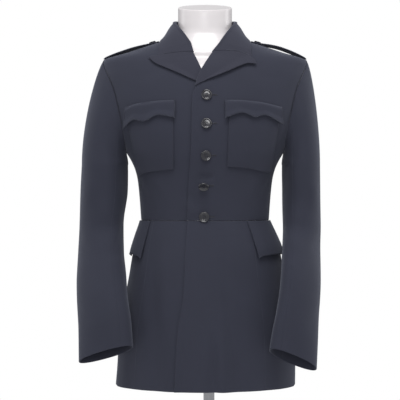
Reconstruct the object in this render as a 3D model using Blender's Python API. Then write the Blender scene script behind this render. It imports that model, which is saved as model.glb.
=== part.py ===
"""Uniform blazer on a limbless dress form with a short pole and a round base.

Metres, +Z up, base on z = 0 and its centre at the origin. The wearer faces -Y, so the
wearer's left is +X and the camera side is -Y. Left and right are the wearer's own. Every
cloth piece is a closed wall whose outer face lies on a surface worked out from level rings
of the body, and a piece that lies on another is made from that surface moved out.
"""

import math

import bmesh
import bpy
import numpy as np

# Cloth
WALL = 0.0020
SEAM = 0.0003
RESTING_GAP = 0.0008
POCKET_WALL = 0.0017
FLAP_WALL = 0.0022
GARMENT_X = -0.0085

# Heights of the garment
HEM_Z = 0.300
WAIST_Z = 0.6515
ARMPIT_Z = 0.795
VENT_TOP_Z = 0.440

# Seams, as turns from the centre front in degrees
SIDE_SEAM_AT_ARMPIT = 90.0
SIDE_SEAM_AT_WAIST = 80.0
SIDE_SEAM_AT_HEM = 74.0
SIDE_FRONT_SEAM = {"left": 39.5, "right": 51.0}
VENT_UNDERLAP = 9.0

# Closing: the left front lies over the right one
OVERLAP_LIFT = WALL + 0.0010
OVERLAP_X = 0.036
OVERLAP_RAMP = 0.045
UNDER_EDGE_X = 0.028
REVERS_STACK = 0.0028
COLLAR_LIFT = 0.0022
COLLAR_ROLL = 0.0028

# Buttons
BUTTON_RADIUS = 0.0112
BUTTON_THICK = 0.0034
BUTTON_BACK = 0.86
STRAP_BUTTON_RADIUS = 0.0075
STRAP_BUTTON_THICK = 0.0032

# Dress form
NECK_RADIUS = 0.0578
NECK_CENTRE_Y = 0.006
NECK_TOP_FRONT_Z = 1.0955
NECK_TOP_BACK_Z = 1.1235
FORM_BOTTOM_Z = 0.390
FORM_INSET = 0.0035
POLE_RADIUS = 0.0118
BASE_RADIUS = 0.165
BASE_THICK = 0.012
BASE_RIM = 0.004

SIDES = {"left": 1.0, "right": -1.0}


def table(columns, *rows):
    """Rows of numbers as one array for each named column."""
    return dict(zip(columns.split(), np.array(rows, float).T))


BODICE = table(
    "z half_width front back power",
    (0.6515, 0.1370, 0.108, 0.087, 2.10),
    (0.7000, 0.1405, 0.112, 0.091, 2.15),
    (0.7375, 0.1445, 0.117, 0.098, 2.20),
    (0.7600, 0.1500, 0.120, 0.102, 2.25),
    (0.7800, 0.1590, 0.123, 0.105, 2.30),
    (0.7950, 0.1680, 0.125, 0.108, 2.30),
    (0.8410, 0.1900, 0.128, 0.114, 2.30),
    (0.8800, 0.2050, 0.126, 0.116, 2.30),
    (0.9200, 0.2170, 0.119, 0.113, 2.30),
    (0.9600, 0.2235, 0.107, 0.103, 2.30),
    (0.9830, 0.2235, 0.096, 0.094, 2.30),
    (0.9930, 0.2185, 0.090, 0.089, 2.30),
    (1.0087, 0.1706, 0.081, 0.083, 2.30),
    (1.0243, 0.1230, 0.071, 0.077, 2.30),
    (1.0400, 0.0750, 0.0625, 0.071, 2.30),
    (1.0480, 0.0670, 0.0600, 0.068, 2.20),
    (1.0600, 0.0630, 0.0590, 0.067, 2.10),
    (1.0900, 0.0620, 0.0580, 0.067, 2.00),
)

SKIRT = table(
    "z half_width front back shift power",
    (0.3000, 0.1925, 0.140, 0.130, 0.0010, 2.05),
    (0.3530, 0.1905, 0.139, 0.130, 0.0030, 2.05),
    (0.4200, 0.1860, 0.137, 0.128, 0.0030, 2.00),
    (0.5330, 0.1665, 0.130, 0.120, 0.0035, 2.00),
    (0.5880, 0.1570, 0.123, 0.111, 0.0035, 2.00),
    (0.6200, 0.1480, 0.116, 0.101, 0.0020, 2.05),
    (0.6515, 0.1370, 0.108, 0.087, 0.0000, 2.10),
)

# The form under the cloth. Between these rows and FORM_NECK it follows the shoulders.
FORM = table(
    "z half_width front back power",
    (0.3900, 0.100, 0.075, 0.072, 2.1),
    (0.3960, 0.125, 0.092, 0.090, 2.1),
    (0.4100, 0.142, 0.103, 0.102, 2.1),
    (0.4400, 0.154, 0.111, 0.110, 2.1),
    (0.5000, 0.154, 0.113, 0.108, 2.1),
    (0.5800, 0.140, 0.106, 0.097, 2.1),
    (0.6515, 0.124, 0.096, 0.078, 2.1),
    (0.7200, 0.130, 0.101, 0.084, 2.2),
    (0.7950, 0.150, 0.114, 0.098, 2.3),
    (0.8500, 0.164, 0.119, 0.106, 2.3),
    (0.9000, 0.178, 0.117, 0.107, 2.3),
    (0.9400, 0.190, 0.108, 0.102, 2.3),
    (0.9700, 0.197, 0.098, 0.095, 2.3),
    (0.9860, 0.194, 0.087, 0.087, 2.3),
    (0.9950, 0.187, 0.081, 0.082, 2.3),
)
FORM_SHOULDERS = (1.0040, 1.0120, 1.0200, 1.0280, 1.0340)
FORM_NECK = table(
    "z half_width front back power",
    (1.0410, 0.0680, 0.0570, 0.0655, 2.2),
    (1.0480, 0.0615, 0.0540, 0.0640, 2.1),
    (1.0600, 0.0585, 0.0524, 0.0638, 2.0),
    (1.0800, NECK_RADIUS, 0.0518, 0.0638, 2.0),
)

FORM_SEGMENTS = 28
FORM_HEIGHTS = (
    *(0.390, 0.396, 0.410, 0.440, 0.480, 0.530, 0.590, 0.6515, 0.710, 0.760, 0.810, 0.860, 0.905),
    *(0.940, 0.965, 0.980, 0.990, 0.998, 1.004, 1.010, 1.016, 1.023, 1.030, 1.036, 1.042, 1.050),
    *(1.062, 1.078),
)
# Rings from there to the slanting top: share of the way up, and size
NECK_RIM = table(
    "share size",
    (0.55, 1.000),
    (0.96, 1.000),
    (0.99, 0.985),
    (1.00, 0.940),
)

FRONT_EDGE = table(
    "z x",
    (0.3000, -0.0626),
    (0.4270, -0.0555),
    (0.4890, -0.0448),
    (0.5710, -0.0406),
    (0.6345, -0.0372),
    (0.7110, -0.0348),
    (0.7620, -0.0314),
    (0.8157, -0.0287),
    (0.9080, -0.0273),
)

# Upper rows of the fronts: the inner end follows the front edge to the break of the revers,
# the roll line up to the gorge, and the neck seam to the shoulder.
ROLL_FIRST, ROLL_LAST = 4, 9
FRONT_ROWS = {
    "left": table(
        "x z armhole",
        (-0.0287, 0.8200, 0.07),
        (-0.0283, 0.8500, 0.16),
        (-0.0280, 0.8800, 0.26),
        (-0.0265, 0.9080, 0.37),
        (-0.0185, 0.9310, 0.47),
        (-0.0140, 0.9445, 0.53),
        (-0.0075, 0.9600, 0.59),
        (0.0010, 0.9740, 0.65),
        (0.0100, 0.9880, 0.71),
        (0.0195, 1.0027, 0.77),
        (0.0420, 1.0170, 0.83),
        (0.0600, 1.0295, 0.89),
        (0.0700, 1.0360, 0.945),
        (0.0738, 1.0392, 0.98),
        (0.0750, 1.0400, 1.0),
    ),
    "right": table(
        "x z armhole",
        (0.0280, 0.8200, 0.07),
        (0.0280, 0.8500, 0.16),
        (0.0270, 0.8800, 0.26),
        (0.0190, 0.9100, 0.37),
        (0.0044, 0.9345, 0.47),
        (-0.0010, 0.9450, 0.53),
        (-0.0082, 0.9593, 0.59),
        (-0.0152, 0.9735, 0.65),
        (-0.0222, 0.9876, 0.71),
        (-0.0292, 1.0017, 0.77),
        (-0.0490, 1.0160, 0.83),
        (-0.0640, 1.0290, 0.89),
        (-0.0715, 1.0360, 0.945),
        (-0.0740, 1.0392, 0.98),
        (-0.0750, 1.0400, 1.0),
    ),
}

BACK_ROWS = table(
    "turn z armhole",
    (180.0, 0.8250, 0.07),
    (180.0, 0.8600, 0.17),
    (180.0, 0.9000, 0.28),
    (180.0, 0.9400, 0.39),
    (180.0, 0.9800, 0.50),
    (180.0, 1.0150, 0.61),
    (180.0, 1.0460, 0.72),
    (155.0, 1.0453, 0.80),
    (130.0, 1.0437, 0.88),
    (108.0, 1.0418, 0.945),
    (90.0, 1.0400, 1.0),
)

ARMHOLE = {
    "front": table(
        "x z",
        (0.1680, 0.795),
        (0.1735, 0.841),
        (0.1860, 0.9025),
        (0.1940, 0.931),
        (0.2050, 0.956),
        (0.2140, 0.976),
        (0.2185, 0.993),
    ),
    "back": table(
        "x z",
        (0.1680, 0.795),
        (0.1770, 0.830),
        (0.1900, 0.870),
        (0.1990, 0.905),
        (0.2070, 0.940),
        (0.2140, 0.970),
        (0.2185, 0.993),
    ),
}

# Revers: each row runs from the roll line to the outer edge, bent by a share of the last row's bend
REVERS = {
    "left": table(
        "edge_x edge_z bend_x bend_z roll",
        (-0.0080, 0.9375, 0.0000, 0.0000, 0.00135),
        (0.0197, 0.9485, 0.0000, 0.0000, 0.00150),
        (0.0452, 0.9588, 0.0000, 0.0000, 0.00180),
        (0.0701, 0.9700, 0.0040, 0.0030, 0.00220),
        (0.0900, 0.9765, 0.0140, 0.0090, 0.00260),
        (0.1066, 0.9755, 0.0320, 0.0204, 0.00280),
    ),
    "right": table(
        "edge_x edge_z bend_x bend_z roll",
        (-0.0105, 0.9365, 0.0000, 0.0000, 0.00130),
        (-0.0310, 0.9452, 0.0000, 0.0000, 0.00130),
        (-0.0550, 0.9562, 0.0000, 0.0000, 0.00150),
        (-0.0826, 0.9681, 0.0000, 0.0005, 0.00220),
        (-0.1050, 0.9790, 0.0000, 0.0020, 0.00260),
        (-0.1181, 0.9913, 0.0000, 0.0046, 0.00280),
    ),
}
NOTCH_ALONG = {"left": 0.74, "right": 0.80}

# Collar, from the gorge to the centre back: neck seam, crest of the fold and outer edge
COLLAR = table(
    "seam_turn seam_z crest_x crest_y crest_z edge_turn edge_z",
    (13.9, 1.0170, 0.0300, -0.0735, 1.0235, 28.9, 1.0060),
    (30.9, 1.0295, 0.0430, -0.0560, 1.0440, 39.2, 1.0180),
    (51.0, 1.0360, 0.0545, -0.0345, 1.0610, 56.2, 1.0280),
    (90.0, 1.0400, 0.0635, 0.0020, 1.0765, 90.0, 1.0343),
    (135.0, 1.0440, 0.0465, 0.0500, 1.0835, 135.0, 1.0345),
    (180.0, 1.0460, 0.0000, 0.0695, 1.0875, 180.0, 1.0355),
)

CHEST_FLAP = {
    "left": table(
        "across x top_z bottom_z",
        (0.00, 0.0400, 0.9010, 0.8620),
        (0.25, 0.0742, 0.9005, 0.8728),
        (0.50, 0.1021, 0.8985, 0.8645),
        (0.66, 0.1183, 0.8965, 0.8694),
        (1.00, 0.1580, 0.8890, 0.8520),
    ),
    "right": table(
        "across x top_z bottom_z",
        (0.00, -0.0610, 0.9010, 0.8625),
        (0.28, -0.0946, 0.9000, 0.8685),
        (0.53, -0.1245, 0.8975, 0.8570),
        (0.68, -0.1418, 0.8950, 0.8612),
        (1.00, -0.1660, 0.8880, 0.8440),
    ),
}

CHEST_POCKET = {
    "left": table(
        "across top_x bottom_x top_z bottom_z",
        (0.00, 0.0490, 0.0440, 0.8925, 0.7630),
        (0.40, 0.0900, 0.0880, 0.8915, 0.7600),
        (0.70, 0.1250, 0.1120, 0.8880, 0.7550),
        (1.00, 0.1560, 0.1370, 0.8810, 0.7510),
    ),
    "right": table(
        "across top_x bottom_x top_z bottom_z",
        (0.00, -0.0650, -0.0643, 0.8925, 0.7577),
        (0.40, -0.1000, -0.0990, 0.8910, 0.7550),
        (0.70, -0.1350, -0.1220, 0.8870, 0.7510),
        (1.00, -0.1630, -0.1400, 0.8800, 0.7455),
    ),
}

HIP_FLAP = {
    "left": table(
        "across top_turn bottom_turn bottom_z",
        (0.00, 38.0, 41.0, 0.5720),
        (0.12, 45.0, 46.5, 0.5765),
        (0.50, 67.0, 67.0, 0.5790),
        (0.88, 89.0, 89.0, 0.5745),
        (1.00, 96.0, 95.0, 0.5720),
    ),
    "right": table(
        "across top_turn bottom_turn bottom_z",
        (0.00, 55.0, 57.0, 0.5700),
        (0.12, 60.0, 61.5, 0.5745),
        (0.50, 78.0, 78.0, 0.5785),
        (0.88, 96.0, 96.0, 0.5745),
        (1.00, 102.0, 101.0, 0.5720),
    ),
}

# Folds that stand out of the skirt or sink into it, with their foot drifting sideways
SKIRT_FOLDS = table(
    "turn top_z bottom_z drift width depth",
    (13.0, 0.630, 0.360, 3.0, 5.0, 0.0022),
    (3.0, 0.430, 0.300, 1.5, 3.5, -0.0018),
    (25.0, 0.560, 0.330, 2.0, 5.5, -0.0020),
    (-26.0, 0.600, 0.340, -2.0, 6.0, 0.0020),
    (-38.0, 0.520, 0.320, -2.5, 5.0, -0.0018),
    (118.0, 0.600, 0.330, -3.0, 7.0, 0.0035),
    (140.0, 0.560, 0.310, 2.0, 7.5, -0.0035),
    (162.0, 0.620, 0.340, -2.0, 6.5, 0.0028),
    (-122.0, 0.620, 0.320, 3.0, 7.5, 0.0035),
    (-146.0, 0.540, 0.320, -2.0, 7.0, -0.0032),
    (-166.0, 0.600, 0.350, 2.0, 6.0, 0.0026),
)

SLEEVE = {
    "left": table(
        "z outer inner centre_y depth skew rise_in rise_front",
        (0.7700, 0.2473, 0.1655, 0.008, 0.150, 0.000, 0.000, 0.000),
        (0.7050, 0.2480, 0.1666, 0.008, 0.142, 0.000, 0.000, 0.000),
        (0.6430, 0.2485, 0.1666, -0.006, 0.130, 0.008, 0.001, 0.004),
        (0.5910, 0.2463, 0.1620, -0.040, 0.115, 0.026, 0.003, 0.010),
        (0.5190, 0.2428, 0.1555, -0.086, 0.097, 0.022, 0.009, 0.020),
        (0.4535, 0.2363, 0.1455, -0.110, 0.083, 0.018, 0.019, 0.024),
        (0.4110, 0.2330, 0.1374, -0.122, 0.075, 0.012, 0.029, 0.026),
        (0.3665, 0.2296, 0.1308, -0.131, 0.066, 0.008, 0.041, 0.027),
    ),
    "right": table(
        "z outer inner centre_y depth skew rise_in rise_front",
        (0.7700, 0.2650, 0.1655, 0.008, 0.150, 0.000, 0.000, 0.000),
        (0.7160, 0.2680, 0.1665, 0.010, 0.143, 0.000, 0.000, 0.000),
        (0.6430, 0.2700, 0.1750, 0.004, 0.130, 0.005, 0.001, 0.004),
        (0.5830, 0.2716, 0.1724, -0.021, 0.118, 0.012, 0.003, 0.009),
        (0.5380, 0.2721, 0.1663, -0.049, 0.107, 0.014, 0.006, 0.016),
        (0.4910, 0.2694, 0.1615, -0.078, 0.095, 0.014, 0.011, 0.020),
        (0.4350, 0.2640, 0.1529, -0.102, 0.082, 0.012, 0.020, 0.023),
        (0.3755, 0.2616, 0.1483, -0.117, 0.066, 0.008, 0.033, 0.024),
    ),
}
CAP_STATIONS = (0.0, 0.07, 0.17, 0.30, 0.46, 0.64, 0.82)
ARM_STATIONS = 13
SLEEVE_SEAM = 0.004
FOREARM_SEAM = 122.0
HINDARM_SEAM = 246.0
SLEEVE_FOLDS = table(
    "turn station reach spread depth",
    (150.0, 0.42, 0.10, 40.0, -0.0030),
    (60.0, 0.47, 0.07, 35.0, 0.0022),
    (250.0, 0.55, 0.09, 35.0, 0.0030),
    (110.0, 0.60, 0.06, 40.0, -0.0026),
    (210.0, 0.34, 0.08, 45.0, -0.0024),
    (80.0, 0.76, 0.07, 40.0, -0.0018),
)

BUTTONS = table(
    "x z tip_side tip_down",
    (0.0031, 0.9110, 0.00, 0.05),
    (0.0027, 0.8520, 0.03, -0.04),
    (0.0016, 0.7860, 0.08, 0.02),
    (-0.0031, 0.7240, -0.03, 0.55),
    (-0.0021, 0.6595, -0.06, 0.03),
)

STRAP = table(
    "along x half_width",
    (0.00, 0.2160, 0.0235),
    (0.30, 0.1800, 0.0230),
    (0.80, 0.1180, 0.0205),
    (0.93, 0.1030, 0.0170),
    (1.00, 0.0975, 0.0085),
)
STRAP_ARCH = {"left": 0.0072, "right": 0.0042}
STRAP_CENTRE_Y = 0.002
STRAP_BUTTON_X = 0.1125


def smooth(xs, ys):
    """A cubic through the rows that never overshoots one of them."""
    order = np.argsort(xs)
    x, y = np.asarray(xs)[order], np.asarray(ys)[order]
    slopes = np.diff(y) / np.diff(x)
    bends = np.zeros(len(x))
    bends[0], bends[-1] = slopes[0], slopes[-1]
    for i in range(1, len(x) - 1):
        if slopes[i - 1] * slopes[i] > 0:
            bends[i] = 2 * slopes[i - 1] * slopes[i] / (slopes[i - 1] + slopes[i])

    def at(value):
        value = min(max(value, x[0]), x[-1])
        i = min(max(int(np.searchsorted(x, value)) - 1, 0), len(x) - 2)
        step = x[i + 1] - x[i]
        t = (value - x[i]) / step
        ends = y[i] * (1 + 2 * t) * (1 - t) ** 2 + y[i + 1] * t * t * (3 - 2 * t)
        return float(ends + step * (bends[i] * t * (1 - t) ** 2 - bends[i + 1] * t * t * (1 - t)))

    return at


def columns_of(rows, key):
    """One smooth function of the key column for each other column."""
    return {name: smooth(rows[key], rows[name]) for name in rows if name != key}


def step(value):
    """0 below 0, 1 above 1 and smooth between."""
    value = min(max(value, 0.0), 1.0)
    return value * value * (3 - 2 * value)


def hump(value):
    """1 at 0, falling smoothly to 0 at 1 on either side."""
    return step(1 - abs(value))


def lerp(a, b, t):
    return a + (b - a) * t


def unit(vector):
    return vector / np.linalg.norm(vector)


def signed_power(value, power):
    return math.copysign(abs(value) ** power, value)


class Rings:
    """Level rings round the body, from a table of half widths and depths."""

    def __init__(self, rows):
        found = columns_of(rows, "z")
        self.half_width, self.front, self.back = found["half_width"], found["front"], found["back"]
        self.power = found["power"]
        self.shift = found.get("shift", lambda z: 0.0)

    def point(self, angle, z):
        """Angle 0 is the centre front and a quarter turn is the wearer's left side."""
        depth = self.front(z) if math.cos(angle) > 0 else self.back(z)
        x = self.half_width(z) * signed_power(math.sin(angle), 2 / self.power(z))
        y = -depth * signed_power(math.cos(angle), 2 / self.power(z))
        return np.array((self.shift(z) + x, y, z))

    def front_angle(self, x, z):
        ratio = min(abs(x - self.shift(z)) / self.half_width(z), 1.0)
        return math.copysign(math.asin(ratio ** (self.power(z) / 2)), x - self.shift(z))


BODY = Rings(BODICE)
HIPS = Rings(SKIRT)


def normal_of(surface, u, v):
    """The outward normal of a surface whose v runs up where u runs to the wearer's left."""
    small = 1e-4
    across = surface(u + small, v) - surface(u - small, v)
    up = surface(u, v + small) - surface(u, v - small)
    return unit(np.cross(across, up))


def moved_out(surface, lift, level=False):
    """The surface that lies lift(point) outside another, or that far out at the same height."""

    def at(u, v):
        point = surface(u, v)
        normal = normal_of(surface, u, v)
        if level:
            normal = unit(normal * np.array((1.0, 1.0, 0.0)))
        return point + normal * lift(point)

    return at


def overlap_lift(point):
    """How far the left front stands off the body, where it covers the right one."""
    x, _, z = point
    flat = OVERLAP_LIFT * (1 - step((x - OVERLAP_X) / OVERLAP_RAMP)) * (1 - step((z - 0.968) / 0.035))
    beside = 1 - step((abs(x + 0.005) - 0.017) / 0.030)
    over = 1 - step((abs(z - 0.946) - 0.022) / 0.040)
    return flat + REVERS_STACK * beside * over


def skirt_fold(point):
    """How far the folds carry the skirt out of its rings or into them."""
    x, y, z = point
    turn = math.degrees(math.atan2(x, -y))
    total = 0.0
    for row in zip(*SKIRT_FOLDS.values()):
        at_turn, top_z, bottom_z, drift, width, depth = row
        down = (top_z - z) / (top_z - bottom_z)
        away = (turn - at_turn - drift * down + 180) % 360 - 180
        total += depth * step(down) * hump(away / (2 * width))
    return total


def left_skirt_lift(point):
    return overlap_lift(point) + skirt_fold(point)


CLOTH = {
    "left": moved_out(BODY.point, overlap_lift, level=True),
    "right": BODY.point,
    "back": BODY.point,
    "left_skirt": moved_out(HIPS.point, left_skirt_lift, level=True),
    "right_skirt": moved_out(HIPS.point, skirt_fold, level=True),
    "back_skirt": moved_out(HIPS.point, skirt_fold, level=True),
}


def material(name, colour, roughness, metallic=0.0):
    """A Principled material with the part's own colour."""
    made = bpy.data.materials.new(name)
    made.use_nodes = True
    shader = made.node_tree.nodes["Principled BSDF"]
    shader.inputs["Base Color"].default_value = (*colour, 1.0)
    shader.inputs["Roughness"].default_value = roughness
    shader.inputs["Metallic"].default_value = metallic
    return made


def clear_scene():
    for obj in list(bpy.data.objects):
        bpy.data.objects.remove(obj)


def add_object(name, points, faces, look, place, sharp=40.0):
    """One closed object whose faces all point out."""
    mesh = bpy.data.meshes.new(name)
    mesh.from_pydata([tuple(map(float, p)) for p in points], [], faces)
    work = bmesh.new()
    work.from_mesh(mesh)
    bmesh.ops.recalc_face_normals(work, faces=work.faces)
    work.to_mesh(mesh)
    work.free()
    mesh.shade_smooth()
    mesh.set_sharp_from_angle(angle=math.radians(sharp))
    mesh.materials.append(look)
    obj = bpy.data.objects.new(name, mesh)
    obj.parent = place
    bpy.context.scene.collection.objects.link(obj)
    return obj


def wall_between(outer, inner):
    """Points and faces of the closed wall between two grids of the same shape."""
    rows, columns = len(outer), len(outer[0])
    points = [p for grid in (outer, inner) for row in grid for p in row]

    def at(layer, row, column):
        return (layer * rows + row) * columns + column

    faces = []
    for layer in (0, 1):
        for r in range(rows - 1):
            for c in range(columns - 1):
                faces.append(
                    (at(layer, r, c), at(layer, r, c + 1), at(layer, r + 1, c + 1), at(layer, r + 1, c))
                )
    rim = [(0, c) for c in range(columns)] + [(r, columns - 1) for r in range(1, rows)]
    rim += [(rows - 1, c) for c in range(columns - 2, -1, -1)] + [(r, 0) for r in range(rows - 2, 0, -1)]
    for here, there in zip(rim, rim[1:] + rim[:1]):
        faces.append((at(0, *here), at(0, *there), at(1, *there), at(1, *here)))
    return points, faces


def add_panel(name, surface, rows, wall, look, place):
    """A wall whose outer face lies on the surface at rows of its two coordinates."""
    outer = [[surface(u, v) for u, v in row] for row in rows]
    inner = [
        [point - normal_of(surface, u, v) * wall for point, (u, v) in zip(points, row)]
        for points, row in zip(outer, rows)
    ]
    return add_object(name, *wall_between(outer, inner), look, place)


def grid_normals(grid):
    """The normal at each point of a grid, from its neighbours."""
    grid = np.array(grid)
    along = np.gradient(grid, axis=0)
    across = np.gradient(grid, axis=1)
    normals = np.cross(across, along)
    return normals / np.linalg.norm(normals, axis=2, keepdims=True)


def add_ribbon(name, middle, wall, look, place):
    """A wall with a grid of points in the middle of its thickness."""
    half = grid_normals(middle) * wall / 2
    middle = np.array(middle)
    return add_object(name, *wall_between(middle + half, middle - half), look, place)


def seam_step(angle):
    """Half a seam's gap as an angle, smaller where the rings' corners stretch it."""
    quarter = abs((math.degrees(angle) + 45) % 90 - 45)
    return 0.0005 if quarter < 1 else 0.0012


def row_between(start, end, count):
    return [(lerp(start[0], end[0], t), lerp(start[1], end[1], t)) for t in np.linspace(0, 1, count)]


def arm_curve(part):
    """The armhole's x and z as functions of the share of its height from the armpit."""
    rows = ARMHOLE[part]
    steps = np.hypot(np.diff(rows["x"]), np.diff(rows["z"]))
    along = np.concatenate(([0.0], np.cumsum(steps))) / steps.sum()
    return smooth(along, rows["x"]), smooth(along, rows["z"])


ARM_CURVES = {part: arm_curve(part) for part in ARMHOLE}


def armhole_angle(part, side, share):
    """Angle and height of the armhole's edge."""
    x_at, z_at = ARM_CURVES[part]
    z = z_at(share)
    angle = abs(BODY.front_angle(x_at(share), z))
    if share >= 1.0:
        angle = math.pi / 2
    if part == "back":
        angle = math.pi - angle
    return SIDES[side] * angle, z


def side_seam(z):
    """The side seam's turn from the centre front."""
    if z >= WAIST_Z:
        share = (z - WAIST_Z) / (ARMPIT_Z - WAIST_Z)
        return math.radians(lerp(SIDE_SEAM_AT_WAIST, SIDE_SEAM_AT_ARMPIT, min(share, 1.0)))
    share = (WAIST_Z - z) / (WAIST_Z - HEM_Z)
    return math.radians(lerp(SIDE_SEAM_AT_WAIST, SIDE_SEAM_AT_HEM, share))


def waist_rows():
    """Heights of the bodice's level rows, from the waist seam to the armpit."""
    return (WAIST_Z + SEAM / 2, 0.6800, 0.7150, 0.7400, 0.7600, 0.7780, ARMPIT_Z)


def front_bodice(side, look, place):
    """From the front edge and roll line to the side seam and armhole."""
    sign = SIDES[side]
    edge = smooth(FRONT_EDGE["z"], FRONT_EDGE["x"]) if side == "left" else (lambda z: UNDER_EDGE_X)
    rows = []
    for z in waist_rows():
        outer = sign * (side_seam(z) - seam_step(side_seam(z)))
        rows.append(row_between((BODY.front_angle(edge(z), z), z), (outer, z), 12))
    for x, z, share in zip(*FRONT_ROWS[side].values()):
        angle, outer_z = armhole_angle("front", side, share)
        start = BODY.front_angle(x, z)
        if share >= 1.0:
            start = angle = sign * (math.pi / 2 - seam_step(math.pi / 2))
        rows.append(row_between((start, z), (angle, outer_z), 12))
    add_panel(f"front_{side}_bodice", CLOTH[side], rows, WALL, look, place)


def back_bodice(side, look, place):
    """From the centre back seam and neck seam to the side seam and armhole."""
    sign = SIDES[side]
    centre = math.pi - seam_step(math.pi)
    rows = []
    for z in waist_rows():
        outer = side_seam(z) + seam_step(side_seam(z))
        rows.append(row_between((sign * centre, z), (sign * outer, z), 11))
    for turn, z, share in zip(*BACK_ROWS.values()):
        angle, outer_z = armhole_angle("back", side, share)
        start = sign * min(math.radians(turn), centre)
        if share >= 1.0:
            start = angle = sign * (math.pi / 2 + seam_step(math.pi / 2))
        rows.append(row_between((start, z), (angle, outer_z), 11))
    add_panel(f"back_{side}_bodice", CLOTH["back"], rows, WALL, look, place)


def skirt_heights():
    return (WAIST_Z - SEAM / 2, 0.630, 0.605, 0.575, 0.535, 0.490, VENT_TOP_Z, 0.405, 0.355, HEM_Z)


def front_skirt(side, look, place):
    """From the front edge to the side front seam."""
    sign = SIDES[side]
    edge = smooth(FRONT_EDGE["z"], FRONT_EDGE["x"]) if side == "left" else (lambda z: UNDER_EDGE_X)
    seam = math.radians(SIDE_FRONT_SEAM[side])
    rows = [
        row_between((HIPS.front_angle(edge(z), z), z), (sign * (seam - seam_step(seam)), z), 13)
        for z in skirt_heights()
    ]
    add_panel(f"front_{side}_skirt", CLOTH[f"{side}_skirt"], rows, WALL, look, place)


def vent_lift(point):
    """The side skirt stands off the back skirt's underlap in the vent."""
    x, y, z = point
    turn = abs(math.degrees(math.atan2(x, -y)))
    down = step((VENT_TOP_Z + 0.020 - z) / 0.020)
    return (WALL + 0.0006) * down * step((turn - 45) / 14)


def side_skirt(side, look, place):
    """From the side front seam to the side seam, and over the vent below it."""
    sign = SIDES[side]
    seam = math.radians(SIDE_FRONT_SEAM[side])
    lift = left_skirt_lift if side == "left" else skirt_fold
    surface = moved_out(HIPS.point, lambda point: lift(point) + vent_lift(point), level=True)
    rows = []
    for z in skirt_heights():
        outer = side_seam(z) - seam_step(side_seam(z))
        rows.append(row_between((sign * (seam + seam_step(seam)), z), (sign * outer, z), 6))
    add_panel(f"side_{side}_skirt", surface, rows, WALL, look, place)


def back_skirt(side, look, place):
    """From the centre back seam to the side seam, with an underlap in the vent."""
    sign = SIDES[side]
    centre = math.pi - seam_step(math.pi)
    rows = []
    for z in skirt_heights():
        under = math.radians(VENT_UNDERLAP) if z < VENT_TOP_Z else 0.0
        outer = side_seam(z) + seam_step(side_seam(z)) - under
        rows.append(row_between((sign * centre, z), (sign * outer, z), 13))
    add_panel(f"back_{side}_skirt", CLOTH["back_skirt"], rows, WALL, look, place)


def fold_section(seam, crest, outward, roll, stand, leaf):
    """Middle line of a folded piece: up its stand, round the fold and down its leaf."""
    up = unit(crest - seam)
    out = unit(outward - np.dot(outward, up) * up)
    foot = seam - out * WALL / 2
    height = np.dot(crest - foot, up)
    centre = foot + up * (height - roll) + out * roll
    path = [foot + up * lerp(2 * RESTING_GAP, height - roll, t) for t in stand]
    for turn in (0, 45, 90, 135, 180):
        a = math.radians(turn)
        path.append(centre + roll * (up * math.sin(a) - out * math.cos(a)))
    return path + [leaf(t) for t in (0.14, 0.34, 0.56, 0.78, 1.0)]


def revers_row(side, index):
    """Row of a revers: the surface points from the roll line to its outer edge, and its roll."""
    front, revers = FRONT_ROWS[side], REVERS[side]
    rows = np.arange(len(revers["roll"]))
    roll_rows = slice(ROLL_FIRST, ROLL_LAST + 1)
    start = np.array([smooth(rows, front[name][roll_rows])(index) for name in ("x", "z")])
    end = np.array([smooth(rows, revers[name])(index) for name in ("edge_x", "edge_z")])
    bend = np.array([smooth(rows, revers[name])(index) for name in ("bend_x", "bend_z")])
    middle = (start + end) / 2 + bend

    def flat(t):
        return start * (1 - t) ** 2 + middle * 2 * t * (1 - t) + end * t * t

    return flat, smooth(rows, revers["roll"])(index)


def on_front(side, x, z):
    """Point of a front's outer face and its normal there."""
    angle = BODY.front_angle(x, z)
    return CLOTH[side](angle, z), normal_of(CLOTH[side], angle, z)


def revers_leaf(side, flat, roll, reach=1.0):
    """The leaf of a revers row, settling from the fold's height onto the front."""

    def at(t):
        point, normal = on_front(side, *flat(t * reach))
        height = lerp(2 * roll - WALL / 2, WALL / 2 + RESTING_GAP, step(t * 1.1))
        return point + normal * height

    return at


def lapel(side, look, place):
    """The revers, folded out over the front along the roll line."""
    grid = []
    last = len(REVERS[side]["roll"]) - 1
    for index in np.linspace(0, last, 13):
        flat, roll = revers_row(side, index)
        seam, normal = on_front(side, *flat(0.0))
        beside, _ = on_front(side, *flat(0.02))
        crest = seam - unit(beside - seam) * (roll + RESTING_GAP)
        grid.append(fold_section(seam, crest, normal, roll, (), revers_leaf(side, flat, roll)))
    add_ribbon(f"lapel_{side}", grid, WALL, look, place)


def collar_half(side):
    """Sections of the collar from the gorge to the centre back."""
    sign = SIDES[side]
    flat, roll = revers_row(side, len(REVERS[side]["roll"]) - 1)
    sections = [gorge_section(side, flat, roll)]
    rows = {name: smooth(np.arange(1, 7), values) for name, values in COLLAR.items()}
    for index in (1, 1.5, 2, 2.5, 3, 3.5, 4, 4.5, 5, 5.5, 6):
        at = {name: row(index) for name, row in rows.items()}
        seam_angle = sign * math.radians(at["seam_turn"])
        edge_angle = sign * math.radians(at["edge_turn"])
        layer = CLOTH["back"] if at["seam_turn"] >= 90 else CLOTH[side]
        seam = layer(seam_angle, at["seam_z"])
        crest = np.array((sign * at["crest_x"], at["crest_y"], at["crest_z"]))
        normal = normal_of(BODY.point, seam_angle, at["seam_z"])
        edge = layer(edge_angle, at["edge_z"])
        edge = edge + normal_of(BODY.point, edge_angle, at["edge_z"]) * (WALL / 2 + COLLAR_LIFT)
        sections.append(free_section(seam, crest, normal, edge))
    return sections


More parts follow.
